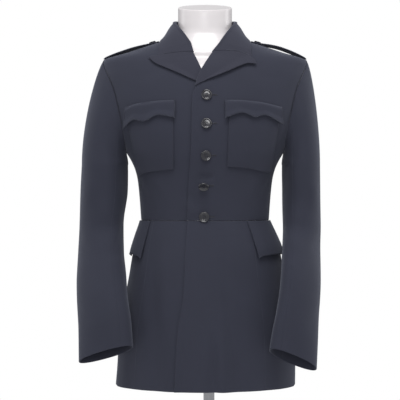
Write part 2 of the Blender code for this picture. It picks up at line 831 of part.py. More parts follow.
def gorge_section(side, flat, roll):
    """The collar's end, beside the top row of the revers."""
    reach = NOTCH_ALONG[side]
    rise = np.array((0.0, 0.0014))

    def raised(t):
        return flat(t) + rise

    seam, normal = on_front(side, *raised(0.0))
    beside, _ = on_front(side, *raised(0.02))
    crest = seam - unit(beside - seam) * (roll + 0.0020)
    return fold_section(seam, crest, normal, roll, (0.0, 0.5), revers_leaf(side, raised, roll, reach))


def free_section(seam, crest, normal, edge):
    """A section of the collar clear of the fronts, its leaf falling to the edge."""
    up = unit(crest - seam)
    out = unit(normal - np.dot(normal, up) * up)
    start = crest + (out - up) * COLLAR_ROLL

    def leaf(t):
        fall = lerp(start, edge, t)
        return fall + out * 0.0035 * math.sin(math.pi * t) * (1 - t)

    return fold_section(seam, crest, normal, COLLAR_ROLL, (0.0, 0.5), leaf)


def collar(look, place):
    """One folded piece round the neck, from gorge to gorge."""
    right, left = collar_half("right"), collar_half("left")
    add_ribbon("collar", right + left[-2::-1], WALL, look, place)


def patch_rows(side, edges, count, heights):
    """Rows of a piece that lies on a front, from its outline's x and z by the share across."""
    rows = []
    for down in heights:
        row = []
        for across in np.linspace(0, 1, count):
            x, z = edges(across, down)
            row.append((BODY.front_angle(x, z), z))
        rows.append(row)
    return rows


def chest_pocket(side, look, place):
    """A patch pocket, sewn to the front on three sides and open under its flap."""
    at = columns_of(CHEST_POCKET[side], "across")

    def edges(across, down):
        x = lerp(at["top_x"](across), at["bottom_x"](across), down)
        return x, lerp(at["top_z"](across), at["bottom_z"](across), down)

    surface = moved_out(CLOTH[side], lambda point: 2 * RESTING_GAP + POCKET_WALL)
    rows = patch_rows(side, edges, 9, np.linspace(0, 1, 9))
    add_panel(f"chest_pocket_{side}", surface, rows, POCKET_WALL, look, place)


def chest_flap(side, look, place):
    """A flap with a scalloped lower edge, over the pocket's mouth."""
    at = columns_of(CHEST_FLAP[side], "across")

    def edges(across, down):
        return at["x"](across), lerp(at["top_z"](across), at["bottom_z"](across), down)

    grid = []
    for down in (0.0, 0.13, 0.3, 0.65, 1.0):
        lift = RESTING_GAP + FLAP_WALL + (POCKET_WALL + 2 * RESTING_GAP) * step(down / 0.2) + 0.0008 * down
        surface = moved_out(CLOTH[side], lambda point, lift=lift: lift - FLAP_WALL / 2)
        (row,) = patch_rows(side, edges, 21, (down,))
        grid.append([surface(u, v) for u, v in row])
    add_ribbon(f"chest_flap_{side}", grid, FLAP_WALL, look, place)


def hip_flap(side, look, place):
    """A pocket flap that hangs from the waist seam, clear of the skirt at its foot."""
    sign = SIDES[side]
    at = columns_of(HIP_FLAP[side], "across")
    top_z = WAIST_Z - 0.0012
    grid = []
    for down in (0.0, 0.2, 0.45, 0.72, 1.0):
        lift = RESTING_GAP + FLAP_WALL / 2 + 0.0042 * step(down)
        surface = moved_out(CLOTH[f"{side}_skirt"], lambda point, lift=lift: lift)
        row = []
        for across in (0.0, 0.06, 0.12, 0.3, 0.5, 0.7, 0.88, 0.94, 1.0):
            turn = lerp(at["top_turn"](across), at["bottom_turn"](across), down)
            row.append(surface(sign * math.radians(turn), lerp(top_z, at["bottom_z"](across), down)))
        grid.append(row)
    add_ribbon(f"hip_flap_{side}", grid, FLAP_WALL, look, place)


def shoulder_top(x, y):
    """Height of the shoulder's upper face over a point."""
    low, high = 0.930, 1.048
    for _ in range(40):
        z = (low + high) / 2
        depth = BODY.front(z) if y < 0 else BODY.back(z)
        inside = (abs(x) / BODY.half_width(z)) ** BODY.power(z) + (abs(y) / depth) ** BODY.power(z)
        low, high = (z, high) if inside < 1 else (low, z)
    return low


def strap_height(side, along):
    """The strap's middle over the shoulder, arched between its sewn end and its button."""
    rise = STRAP_ARCH[side] * math.sin(math.pi * min(along / 0.86, 1.0)) ** 1.3
    return FLAP_WALL / 2 + 0.0013 + rise


def epaulette(side, look, place):
    """A shoulder strap from the sleeve head towards the collar, with a blunt point."""
    at = columns_of(STRAP, "along")
    grid = []
    for along in (0.0, 0.12, 0.25, 0.38, 0.5, 0.62, 0.74, 0.85, 0.93, 0.97, 1.0):
        row = []
        for across in (-1.0, -0.5, 0.0, 0.5, 1.0):
            x = SIDES[side] * at["x"](along)
            y = STRAP_CENTRE_Y + across * at["half_width"](along)
            row.append(np.array((x, y, shoulder_top(x, y) + strap_height(side, along))))
        grid.append(row)
    add_ribbon(f"epaulette_{side}", grid, FLAP_WALL, look, place)


def arm_ring(side, z, turn, half_turn_power=2 / 2.2):
    """Point of the sleeve's ring at a height: turn 0 is outward and a quarter turn is the front."""
    at = ARM_ROWS[side]
    sign = SIDES[side]
    across = signed_power(math.cos(turn), half_turn_power)
    ahead = signed_power(math.sin(turn), half_turn_power)
    outer, inner = at["outer"](z), at["inner"](z)
    x = (outer + inner) / 2 + across * (outer - inner) / 2
    y = at["centre_y"](z) - ahead * at["depth"](z) / 2 + across * at["skew"](z)
    height = z - across * at["rise_in"](z) / 2 + ahead * at["rise_front"](z) / 2
    return np.array((sign * x, y, height))


ARM_ROWS = {side: columns_of(rows, "z") for side, rows in SLEEVE.items()}


def sleeve_surface(side):
    """The sleeve's outer face, by its turn and its share of the way from the armhole to the cuff."""
    sign = SIDES[side]
    top_z, cuff_z = SLEEVE[side]["z"][0], SLEEVE[side]["z"][-1]
    cap_share = 0.38

    def armhole_point(turn):
        turn = turn % (2 * math.pi)
        part, share = ("front", 1 - turn / math.pi) if turn <= math.pi else ("back", turn / math.pi - 1)
        angle, z = armhole_angle(part, side, share)
        return BODY.point(angle, z)

    def start_way(turn):
        top = (1 + math.cos(turn)) / 2
        way = np.array((1.0, 0.0, -0.22)) * top + np.array((0.15, 0.0, -1.0)) * (1 - top)
        return unit(way) * np.array((sign, 1, 1)), top

    def cap(turn, t):
        way, top = start_way(turn)
        start = armhole_point(turn) + way * 0.0006 + np.array((sign * 0.0009 * (1 - top), 0, 0))
        end = arm_ring(side, top_z, turn)
        length = np.linalg.norm(end - start)
        first = start + way * lerp(0.010, 0.008, top)
        second = end + np.array((0, 0, 0.48 * length))
        s = 1 - t
        return start * s**3 + first * 3 * s * s * t + second * 3 * s * t * t + end * t**3

    def fold(turn, share):
        total = 0.0
        for row in zip(*SLEEVE_FOLDS.values()):
            at_turn, at_share, reach, spread, depth = row
            away = (math.degrees(turn) - at_turn + 180) % 360 - 180
            total += depth * hump(away / spread) * hump((share - at_share) / reach)
        return total

    def at(turn, share):
        share = min(max(share, 0.0), 1.0)
        if share < cap_share:
            return cap(turn, share / cap_share)
        down = (share - cap_share) / (1 - cap_share)
        point = arm_ring(side, lerp(top_z, cuff_z, down), turn)
        middle = np.array((sign * (ARM_ROWS[side]["outer"](point[2]) + ARM_ROWS[side]["inner"](point[2])) / 2,
                           ARM_ROWS[side]["centre_y"](point[2]), point[2]))
        return point + unit(point - middle) * fold(turn, share)

    return at, cap_share


def sleeve_normal(surface, side, turn, share):
    """The outward normal, worked out from one side at the sleeve's two ends."""
    small = 1e-4
    low, high = max(share - small, 0.0), min(share + small, 1.0)
    round_it = surface(turn + small, share) - surface(turn - small, share)
    down = surface(turn, high) - surface(turn, low)
    return unit(np.cross(round_it, down)) * SIDES[side]


def add_sleeve_piece(name, side, first, last, count, look, place):
    surface, cap_share = sleeve_surface(side)
    shares = [t * cap_share for t in CAP_STATIONS] + list(np.linspace(cap_share, 1.0, ARM_STATIONS))
    turns = np.linspace(math.radians(first) + SLEEVE_SEAM, math.radians(last) - SLEEVE_SEAM, count)
    outer = [[surface(turn, share) for turn in turns] for share in shares]
    inner = [
        [point - sleeve_normal(surface, side, turn, share) * WALL for point, turn in zip(row, turns)]
        for row, share in zip(outer, shares)
    ]
    add_object(name, *wall_between(outer, inner), look, place)


def sleeve(side, look, place):
    """Two pieces, joined at the forearm seam and the hind arm seam."""
    add_sleeve_piece(f"upper_sleeve_{side}", side, HINDARM_SEAM - 360, FOREARM_SEAM, 13, look, place)
    add_sleeve_piece(f"under_sleeve_{side}", side, FOREARM_SEAM, HINDARM_SEAM, 7, look, place)


def add_lathe(name, profile, look, place, matrix_rows, segments=20):
    """A turned solid from a profile of radius and height, closed at both ends on its axis."""
    origin, x_way, y_way, axis = matrix_rows
    rings = [(r, h) for r, h in profile if r > 0]
    points, faces = [], []
    for radius, height in rings:
        for k in range(segments):
            a = 2 * math.pi * k / segments
            points.append(origin + x_way * radius * math.cos(a) + y_way * radius * math.sin(a) + axis * height)
    for ring in range(len(rings) - 1):
        for k in range(segments):
            n = (k + 1) % segments
            low, high = ring * segments, (ring + 1) * segments
            faces.append((low + k, low + n, high + n, high + k))
    points.append(origin + axis * profile[0][1])
    points.append(origin + axis * profile[-1][1])
    for k in range(segments):
        n = (k + 1) % segments
        faces.append((k, n, len(points) - 2))
        faces.append(((len(rings) - 1) * segments + k, (len(rings) - 1) * segments + n, len(points) - 1))
    return add_object(name, points, faces, look, place)


def button_profile(radius, thick):
    """A flat back, a rounded rim and a dished face."""
    return (
        (0.0, 0.0),
        (radius * BUTTON_BACK, 0.0),
        (radius, thick * 0.35),
        (radius * 0.97, thick * 0.82),
        (radius * 0.88, thick),
        (radius * 0.70, thick * 0.80),
        (radius * 0.60, thick * 0.68),
        (0.0, thick * 0.68),
    )


def seated(point, normal, tip_side=0.0, tip_down=0.0):
    """Origin and axes of a piece that faces along a normal, tipped a little."""
    normal = unit(normal + np.array((tip_side, 0.0, -tip_down)))
    side = unit(np.cross(np.array((0.0, 0.0, 1.0)), normal)) if abs(normal[2]) < 0.9 else np.array((1.0, 0, 0))
    side = unit(side - np.dot(side, normal) * normal)
    return point, side, np.cross(normal, side), normal


def front_buttons(look, place):
    for number, row in enumerate(zip(*BUTTONS.values()), start=1):
        x, z, tip_side, tip_down = row
        point, normal = on_front("left", x, z)
        tip = math.hypot(tip_side, tip_down)
        lift = SEAM + BUTTON_RADIUS * BUTTON_BACK * math.sin(math.atan(tip))
        axes = seated(point + normal * lift, normal, tip_side, tip_down)
        add_lathe(f"front_button_{number}", button_profile(BUTTON_RADIUS, BUTTON_THICK), look, place, axes)


def strap_button(side, look, place):
    x, y = SIDES[side] * STRAP_BUTTON_X, STRAP_CENTRE_Y
    along = smooth(STRAP["x"], STRAP["along"])(STRAP_BUTTON_X)
    height = shoulder_top(x, y) + strap_height(side, along) + FLAP_WALL / 2
    slope = (shoulder_top(x + 0.002, y) - shoulder_top(x - 0.002, y)) / 0.004
    normal = unit(np.array((-slope, 0.0, 1.0)))
    point = np.array((x, y, height)) + normal * (SEAM + 0.0007)
    profile = button_profile(STRAP_BUTTON_RADIUS, STRAP_BUTTON_THICK)
    add_lathe(f"epaulette_button_{side}", profile, look, place, seated(point, normal), segments=18)


def form_rows():
    """The form's rings, which follow the cloth's inner face over the shoulders."""
    drop = WALL + RESTING_GAP
    rows = [(z, BODY.half_width(z + drop), BODY.front(z + drop) - FORM_INSET,
             BODY.back(z + drop) - FORM_INSET, BODY.power(z)) for z in FORM_SHOULDERS]
    found = dict(zip(FORM, np.array(rows).T))
    return {name: np.concatenate((FORM[name], found[name], FORM_NECK[name])) for name in FORM}


def form_torso(look, place):
    """A smooth closed torso with a neck, cut off by a slanting top."""
    body = Rings(form_rows())
    rings = []
    for z in FORM_HEIGHTS:
        rings.append([body.point(2 * math.pi * k / FORM_SEGMENTS, z) for k in range(FORM_SEGMENTS)])
    for share, size in zip(*NECK_RIM.values()):
        ring = []
        for k in range(FORM_SEGMENTS):
            x, y, low = body.point(2 * math.pi * k / FORM_SEGMENTS, FORM_HEIGHTS[-1])
            tilt = (y - NECK_CENTRE_Y + NECK_RADIUS) / (2 * NECK_RADIUS)
            top = lerp(NECK_TOP_FRONT_Z, NECK_TOP_BACK_Z, tilt)
            y = NECK_CENTRE_Y + (y - NECK_CENTRE_Y) * size
            ring.append(np.array((x * size, y, lerp(low, top, share))))
        rings.append(ring)
    points = [p for ring in rings for p in ring]
    faces = []
    for r in range(len(rings) - 1):
        for k in range(FORM_SEGMENTS):
            n = (k + 1) % FORM_SEGMENTS
            low, high = r * FORM_SEGMENTS, (r + 1) * FORM_SEGMENTS
            faces.append((low + k, low + n, high + n, high + k))
    for ring, first in ((rings[0], 0), (rings[-1], (len(rings) - 1) * FORM_SEGMENTS)):
        points.append(np.mean(ring, axis=0))
        for k in range(FORM_SEGMENTS):
            faces.append((first + k, first + (k + 1) % FORM_SEGMENTS, len(points) - 1))
    add_object("form_torso", points, faces, look, place, sharp=60.0)


def stand(look, place):
    """The pole, and the round base it stands on."""
    upright = (np.zeros(3), np.array((1.0, 0, 0)), np.array((0, 1.0, 0)), np.array((0, 0, 1.0)))
    base = (
        (0.0, 0.0),
        (BASE_RADIUS, 0.0),
        (BASE_RADIUS, BASE_THICK - BASE_RIM),
        (BASE_RADIUS - BASE_RIM, BASE_THICK),
        (0.0, BASE_THICK),
    )
    add_lathe("form_base", base, look, place, upright, segments=56)
    top = FORM_BOTTOM_Z - SEAM
    pole = (
        (0.0, BASE_THICK + SEAM),
        (POLE_RADIUS * 2.2, BASE_THICK + SEAM),
        (POLE_RADIUS * 2.2, BASE_THICK + 0.012),
        (POLE_RADIUS * 1.5, BASE_THICK + 0.020),
        (POLE_RADIUS, BASE_THICK + 0.022),
        (POLE_RADIUS, top),
        (0.0, top),
    )
    add_lathe("form_pole", pole, look, place, upright, segments=28)


def main():
    clear_scene()
    wool = material("wool", (0.047, 0.050, 0.070), 0.85)
    plastic = material("button_plastic", (0.030, 0.031, 0.040), 0.35)
    white = material("form_white", (0.80, 0.78, 0.77), 0.30)
    chrome = material("chrome", (0.55, 0.55, 0.56), 0.15, 1.0)
    garment = bpy.data.objects.new("garment_place", None)
    garment.location = (GARMENT_X, 0.0, 0.0)
    bpy.context.scene.collection.objects.link(garment)
    for side in SIDES:
        front_bodice(side, wool, garment)
        back_bodice(side, wool, garment)
        front_skirt(side, wool, garment)
        side_skirt(side, wool, garment)
        back_skirt(side, wool, garment)
        sleeve(side, wool, garment)
        lapel(side, wool, garment)
        chest_pocket(side, wool, garment)
        chest_flap(side, wool, garment)
        hip_flap(side, wool, garment)
        epaulette(side, wool, garment)
        strap_button(side, plastic, garment)
    collar(wool, garment)
    front_buttons(plastic, garment)
    form_torso(white, garment)
    stand(chrome, None)


main()
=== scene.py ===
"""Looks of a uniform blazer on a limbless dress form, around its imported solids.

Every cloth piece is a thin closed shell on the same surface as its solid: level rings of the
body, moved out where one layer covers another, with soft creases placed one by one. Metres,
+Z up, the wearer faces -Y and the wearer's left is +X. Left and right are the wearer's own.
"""

import math

import bmesh
import bpy
import numpy as np
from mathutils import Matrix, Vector


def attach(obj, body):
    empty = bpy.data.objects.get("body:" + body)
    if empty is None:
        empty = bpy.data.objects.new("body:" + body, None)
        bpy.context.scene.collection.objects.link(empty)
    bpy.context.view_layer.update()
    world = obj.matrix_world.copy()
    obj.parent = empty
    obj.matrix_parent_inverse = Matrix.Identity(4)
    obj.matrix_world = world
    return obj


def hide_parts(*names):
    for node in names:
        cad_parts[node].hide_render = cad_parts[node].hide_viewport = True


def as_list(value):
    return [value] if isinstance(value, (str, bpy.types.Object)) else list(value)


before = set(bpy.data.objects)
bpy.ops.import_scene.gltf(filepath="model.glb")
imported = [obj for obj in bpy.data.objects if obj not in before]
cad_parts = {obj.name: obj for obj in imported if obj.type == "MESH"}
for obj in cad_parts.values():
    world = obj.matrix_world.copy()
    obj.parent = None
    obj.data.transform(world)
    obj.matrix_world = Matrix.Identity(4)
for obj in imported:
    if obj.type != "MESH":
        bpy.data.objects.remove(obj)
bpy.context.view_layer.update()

# Sizes shared with the solids
WALL = 0.0020
SEAM = 0.0003
RESTING_GAP = 0.0008
POCKET_WALL = 0.0017
FLAP_WALL = 0.0022
GARMENT_X = -0.0085
HEM_Z = 0.300
WAIST_Z = 0.6515
ARMPIT_Z = 0.795
VENT_TOP_Z = 0.440
SIDE_SEAM_AT_ARMPIT = 90.0
SIDE_SEAM_AT_WAIST = 80.0
SIDE_SEAM_AT_HEM = 74.0
SIDE_FRONT_SEAM = {"left": 39.5, "right": 51.0}
VENT_UNDERLAP = 9.0
OVERLAP_LIFT = WALL + 0.0010
OVERLAP_X = 0.036
OVERLAP_RAMP = 0.045
UNDER_EDGE_X = 0.028
REVERS_STACK = 0.0028
COLLAR_LIFT = 0.0022
COLLAR_ROLL = 0.0028
BUTTON_RADIUS = 0.0112
BUTTON_THICK = 0.0034
BUTTON_BACK = 0.86
STRAP_BUTTON_RADIUS = 0.0075
STRAP_BUTTON_THICK = 0.0032
NECK_RADIUS = 0.0578
NECK_CENTRE_Y = 0.006
NECK_TOP_FRONT_Z = 1.0955
NECK_TOP_BACK_Z = 1.1235
FORM_BOTTOM_Z = 0.390
FORM_INSET = 0.0035
POLE_RADIUS = 0.0118
BASE_RADIUS = 0.165
BASE_THICK = 0.012
SLEEVE_SEAM = -0.004
FOREARM_SEAM = 122.0
HINDARM_SEAM = 246.0
CAP_SHARE = 0.38
SIDES = {"left": 1.0, "right": -1.0}


def table(columns, *rows):
    """Rows of numbers as one array for each named column."""
    return dict(zip(columns.split(), np.array(rows, float).T))


BODICE = table(
    "z half_width front back power",
    (0.6515, 0.1370, 0.108, 0.087, 2.10),
    (0.7000, 0.1405, 0.112, 0.091, 2.15),
    (0.7375, 0.1445, 0.117, 0.098, 2.20),
    (0.7600, 0.1500, 0.120, 0.102, 2.25),
    (0.7800, 0.1590, 0.123, 0.105, 2.30),
    (0.7950, 0.1680, 0.125, 0.108, 2.30),
    (0.8410, 0.1900, 0.128, 0.114, 2.30),
    (0.8800, 0.2050, 0.126, 0.116, 2.30),
    (0.9200, 0.2170, 0.119, 0.113, 2.30),
    (0.9600, 0.2235, 0.107, 0.103, 2.30),
    (0.9830, 0.2235, 0.096, 0.094, 2.30),
    (0.9930, 0.2185, 0.090, 0.089, 2.30),
    (1.0087, 0.1706, 0.081, 0.083, 2.30),
    (1.0243, 0.1230, 0.071, 0.077, 2.30),
    (1.0400, 0.0750, 0.0625, 0.071, 2.30),
    (1.0480, 0.0670, 0.0600, 0.068, 2.20),
    (1.0600, 0.0630, 0.0590, 0.067, 2.10),
    (1.0900, 0.0620, 0.0580, 0.067, 2.00),
)

SKIRT = table(
    "z half_width front back shift power",
    (0.3000, 0.1925, 0.140, 0.130, 0.0010, 2.05),
    (0.3530, 0.1905, 0.139, 0.130, 0.0030, 2.05),
    (0.4200, 0.1860, 0.137, 0.128, 0.0030, 2.00),
    (0.5330, 0.1665, 0.130, 0.120, 0.0035, 2.00),
    (0.5880, 0.1570, 0.123, 0.111, 0.0035, 2.00),
    (0.6200, 0.1480, 0.116, 0.101, 0.0020, 2.05),
    (0.6515, 0.1370, 0.108, 0.087, 0.0000, 2.10),
)

# The form under the cloth. Between these rows and FORM_NECK it follows the shoulders.
FORM = table(
    "z half_width front back power",
    (0.3900, 0.100, 0.075, 0.072, 2.1),
    (0.3960, 0.125, 0.092, 0.090, 2.1),
    (0.4100, 0.142, 0.103, 0.102, 2.1),
    (0.4400, 0.154, 0.111, 0.110, 2.1),
    (0.5000, 0.154, 0.113, 0.108, 2.1),
    (0.5800, 0.140, 0.106, 0.097, 2.1),
    (0.6515, 0.124, 0.096, 0.078, 2.1),
    (0.7200, 0.130, 0.101, 0.084, 2.2),
    (0.7950, 0.150, 0.114, 0.098, 2.3),
    (0.8500, 0.164, 0.119, 0.106, 2.3),
    (0.9000, 0.178, 0.117, 0.107, 2.3),
    (0.9400, 0.190, 0.108, 0.102, 2.3),
    (0.9700, 0.197, 0.098, 0.095, 2.3),
    (0.9860, 0.194, 0.087, 0.087, 2.3),
    (0.9950, 0.187, 0.081, 0.082, 2.3),
)
FORM_SHOULDERS = (1.0040, 1.0120, 1.0200, 1.0280, 1.0340)
FORM_NECK = table(
    "z half_width front back power",
    (1.0410, 0.0680, 0.0570, 0.0655, 2.2),
    (1.0480, 0.0615, 0.0540, 0.0640, 2.1),
    (1.0600, 0.0585, 0.0524, 0.0638, 2.0),
    (1.0800, NECK_RADIUS, 0.0518, 0.0638, 2.0),
)

FORM_HEIGHTS = (
    *(0.390, 0.396, 0.410, 0.440, 0.480, 0.530, 0.590, 0.6515, 0.710, 0.760, 0.810, 0.860, 0.905),
    *(0.940, 0.965, 0.980, 0.990, 0.998, 1.004, 1.010, 1.016, 1.023, 1.030, 1.036, 1.042, 1.050),
    *(1.062, 1.078),
)
# Rings from there to the slanting top: share of the way up, and size

FRONT_EDGE = table(
    "z x",
    (0.3000, -0.0626),
    (0.4270, -0.0555),
    (0.4890, -0.0448),
    (0.5710, -0.0406),
    (0.6345, -0.0372),
    (0.7110, -0.0348),
    (0.7620, -0.0314),
    (0.8157, -0.0287),
    (0.9080, -0.0273),
)

# Upper rows of the fronts: the inner end follows the front edge to the break of the revers,
# the roll line up to the gorge, and the neck seam to the shoulder.
ROLL_FIRST, ROLL_LAST = 4, 9
FRONT_ROWS = {
    "left": table(
        "x z armhole",
        (-0.0287, 0.8200, 0.07),
        (-0.0283, 0.8500, 0.16),
        (-0.0280, 0.8800, 0.26),
        (-0.0265, 0.9080, 0.37),
        (-0.0185, 0.9310, 0.47),
        (-0.0140, 0.9445, 0.53),
        (-0.0075, 0.9600, 0.59),
        (0.0010, 0.9740, 0.65),
        (0.0100, 0.9880, 0.71),
        (0.0195, 1.0027, 0.77),
        (0.0420, 1.0170, 0.83),
        (0.0600, 1.0295, 0.89),
        (0.0700, 1.0360, 0.945),
        (0.0738, 1.0392, 0.98),
        (0.0750, 1.0400, 1.0),
    ),
    "right": table(
        "x z armhole",
        (0.0280, 0.8200, 0.07),
        (0.0280, 0.8500, 0.16),
        (0.0270, 0.8800, 0.26),
        (0.0190, 0.9100, 0.37),
        (0.0044, 0.9345, 0.47),
        (-0.0010, 0.9450, 0.53),
        (-0.0082, 0.9593, 0.59),
        (-0.0152, 0.9735, 0.65),
        (-0.0222, 0.9876, 0.71),
        (-0.0292, 1.0017, 0.77),
        (-0.0490, 1.0160, 0.83),
        (-0.0640, 1.0290, 0.89),
        (-0.0715, 1.0360, 0.945),
        (-0.0740, 1.0392, 0.98),
        (-0.0750, 1.0400, 1.0),
    ),
}

BACK_ROWS = table(
    "turn z armhole",
    (180.0, 0.8250, 0.07),
    (180.0, 0.8600, 0.17),
    (180.0, 0.9000, 0.28),
    (180.0, 0.9400, 0.39),
    (180.0, 0.9800, 0.50),
    (180.0, 1.0150, 0.61),
    (180.0, 1.0460, 0.72),
    (155.0, 1.0453, 0.80),
    (130.0, 1.0437, 0.88),
    (108.0, 1.0418, 0.945),
    (90.0, 1.0400, 1.0),
)

ARMHOLE = {
    "front": table(
        "x z",
        (0.1680, 0.795),
        (0.1735, 0.841),
        (0.1860, 0.9025),
        (0.1940, 0.931),
        (0.2050, 0.956),
        (0.2140, 0.976),
        (0.2185, 0.993),
    ),
    "back": table(
        "x z",
        (0.1680, 0.795),
        (0.1770, 0.830),
        (0.1900, 0.870),
        (0.1990, 0.905),
        (0.2070, 0.940),
        (0.2140, 0.970),
        (0.2185, 0.993),
    ),
}

# Revers: each row runs from the roll line to the outer edge, bent by a share of the last row's bend
REVERS = {
    "left": table(
        "edge_x edge_z bend_x bend_z roll",
        (-0.0080, 0.9375, 0.0000, 0.0000, 0.00135),
        (0.0197, 0.9485, 0.0000, 0.0000, 0.00150),
        (0.0452, 0.9588, 0.0000, 0.0000, 0.00180),
        (0.0701, 0.9700, 0.0040, 0.0030, 0.00220),
        (0.0900, 0.9765, 0.0140, 0.0090, 0.00260),
        (0.1066, 0.9755, 0.0320, 0.0204, 0.00280),
    ),
    "right": table(
        "edge_x edge_z bend_x bend_z roll",
        (-0.0105, 0.9365, 0.0000, 0.0000, 0.00130),
        (-0.0310, 0.9452, 0.0000, 0.0000, 0.00130),
        (-0.0550, 0.9562, 0.0000, 0.0000, 0.00150),
        (-0.0826, 0.9681, 0.0000, 0.0005, 0.00220),
        (-0.1050, 0.9790, 0.0000, 0.0020, 0.00260),
        (-0.1181, 0.9913, 0.0000, 0.0046, 0.00280),
    ),
}
NOTCH_ALONG = {"left": 0.74, "right": 0.80}

# Collar, from the gorge to the centre back: neck seam, crest of the fold and outer edge
COLLAR = table(
    "seam_turn seam_z crest_x crest_y crest_z edge_turn edge_z",
    (13.9, 1.0170, 0.0300, -0.0735, 1.0235, 28.9, 1.0060),
    (30.9, 1.0295, 0.0430, -0.0560, 1.0440, 39.2, 1.0180),
    (51.0, 1.0360, 0.0545, -0.0345, 1.0610, 56.2, 1.0280),
    (90.0, 1.0400, 0.0635, 0.0020, 1.0765, 90.0, 1.0343),
    (135.0, 1.0440, 0.0465, 0.0500, 1.0835, 135.0, 1.0345),
    (180.0, 1.0460, 0.0000, 0.0695, 1.0875, 180.0, 1.0355),
)

CHEST_FLAP = {
    "left": table(
        "across x top_z bottom_z",
        (0.00, 0.0400, 0.9010, 0.8620),
        (0.25, 0.0742, 0.9005, 0.8728),
        (0.50, 0.1021, 0.8985, 0.8645),
        (0.66, 0.1183, 0.8965, 0.8694),
        (1.00, 0.1580, 0.8890, 0.8520),
    ),
    "right": table(
        "across x top_z bottom_z",
        (0.00, -0.0610, 0.9010, 0.8625),
        (0.28, -0.0946, 0.9000, 0.8685),
        (0.53, -0.1245, 0.8975, 0.8570),
        (0.68, -0.1418, 0.8950, 0.8612),
        (1.00, -0.1660, 0.8880, 0.8440),
    ),
}

CHEST_POCKET = {
    "left": table(
        "across top_x bottom_x top_z bottom_z",
        (0.00, 0.0490, 0.0440, 0.8925, 0.7630),
        (0.40, 0.0900, 0.0880, 0.8915, 0.7600),
        (0.70, 0.1250, 0.1120, 0.8880, 0.7550),
        (1.00, 0.1560, 0.1370, 0.8810, 0.7510),
    ),
    "right": table(
        "across top_x bottom_x top_z bottom_z",
        (0.00, -0.0650, -0.0643, 0.8925, 0.7577),
        (0.40, -0.1000, -0.0990, 0.8910, 0.7550),
        (0.70, -0.1350, -0.1220, 0.8870, 0.7510),
        (1.00, -0.1630, -0.1400, 0.8800, 0.7455),
    ),
}

HIP_FLAP = {
    "left": table(
        "across top_turn bottom_turn bottom_z",
        (0.00, 38.0, 41.0, 0.5720),
        (0.12, 45.0, 46.5, 0.5765),
        (0.50, 67.0, 67.0, 0.5790),
        (0.88, 89.0, 89.0, 0.5745),
        (1.00, 96.0, 95.0, 0.5720),
    ),
    "right": table(
        "across top_turn bottom_turn bottom_z",
        (0.00, 55.0, 57.0, 0.5700),
        (0.12, 60.0, 61.5, 0.5745),
        (0.50, 78.0, 78.0, 0.5785),
        (0.88, 96.0, 96.0, 0.5745),
        (1.00, 102.0, 101.0, 0.5720),
    ),
}

# Folds that stand out of the skirt or sink into it, with their foot drifting sideways
SKIRT_FOLDS = table(
    "turn top_z bottom_z drift width depth",
    (13.0, 0.630, 0.360, 3.0, 5.0, 0.0022),
    (3.0, 0.430, 0.300, 1.5, 3.5, -0.0018),
    (25.0, 0.560, 0.330, 2.0, 5.5, -0.0020),
    (-26.0, 0.600, 0.340, -2.0, 6.0, 0.0020),
    (-38.0, 0.520, 0.320, -2.5, 5.0, -0.0018),
    (118.0, 0.600, 0.330, -3.0, 7.0, 0.0035),
    (140.0, 0.560, 0.310, 2.0, 7.5, -0.0035),
    (162.0, 0.620, 0.340, -2.0, 6.5, 0.0028),
    (-122.0, 0.620, 0.320, 3.0, 7.5, 0.0035),
    (-146.0, 0.540, 0.320, -2.0, 7.0, -0.0032),
    (-166.0, 0.600, 0.350, 2.0, 6.0, 0.0026),
)

SLEEVE = {
    "left": table(
        "z outer inner centre_y depth skew rise_in rise_front",
        (0.7700, 0.2473, 0.1655, 0.008, 0.150, 0.000, 0.000, 0.000),
        (0.7050, 0.2480, 0.1666, 0.008, 0.142, 0.000, 0.000, 0.000),
        (0.6430, 0.2485, 0.1666, -0.006, 0.130, 0.008, 0.001, 0.004),
        (0.5910, 0.2463, 0.1620, -0.040, 0.115, 0.026, 0.003, 0.010),
        (0.5190, 0.2428, 0.1555, -0.086, 0.097, 0.022, 0.009, 0.020),
        (0.4535, 0.2363, 0.1455, -0.110, 0.083, 0.018, 0.019, 0.024),
        (0.4110, 0.2330, 0.1374, -0.122, 0.075, 0.012, 0.029, 0.026),
        (0.3665, 0.2296, 0.1308, -0.131, 0.066, 0.008, 0.041, 0.027),
    ),
    "right": table(
        "z outer inner centre_y depth skew rise_in rise_front",
        (0.7700, 0.2650, 0.1655, 0.008, 0.150, 0.000, 0.000, 0.000),
        (0.7160, 0.2680, 0.1665, 0.010, 0.143, 0.000, 0.000, 0.000),
        (0.6430, 0.2700, 0.1750, 0.004, 0.130, 0.005, 0.001, 0.004),
        (0.5830, 0.2716, 0.1724, -0.021, 0.118, 0.012, 0.003, 0.009),
        (0.5380, 0.2721, 0.1663, -0.049, 0.107, 0.014, 0.006, 0.016),
        (0.4910, 0.2694, 0.1615, -0.078, 0.095, 0.014, 0.011, 0.020),
        (0.4350, 0.2640, 0.1529, -0.102, 0.082, 0.012, 0.020, 0.023),
        (0.3755, 0.2616, 0.1483, -0.117, 0.066, 0.008, 0.033, 0.024),
    ),
}
SLEEVE_FOLDS = table(
    "turn station reach spread depth",
    (150.0, 0.42, 0.10, 40.0, -0.0030),
    (60.0, 0.47, 0.07, 35.0, 0.0022),
    (250.0, 0.55, 0.09, 35.0, 0.0030),
    (110.0, 0.60, 0.06, 40.0, -0.0026),
    (210.0, 0.34, 0.08, 45.0, -0.0024),
    (80.0, 0.76, 0.07, 40.0, -0.0018),
)

BUTTONS = table(
    "x z tip_side tip_down",
    (0.0031, 0.9110, 0.00, 0.05),
    (0.0027, 0.8520, 0.03, -0.04),
    (0.0016, 0.7860, 0.08, 0.02),
    (-0.0031, 0.7240, -0.03, 0.55),
    (-0.0021, 0.6595, -0.06, 0.03),
)

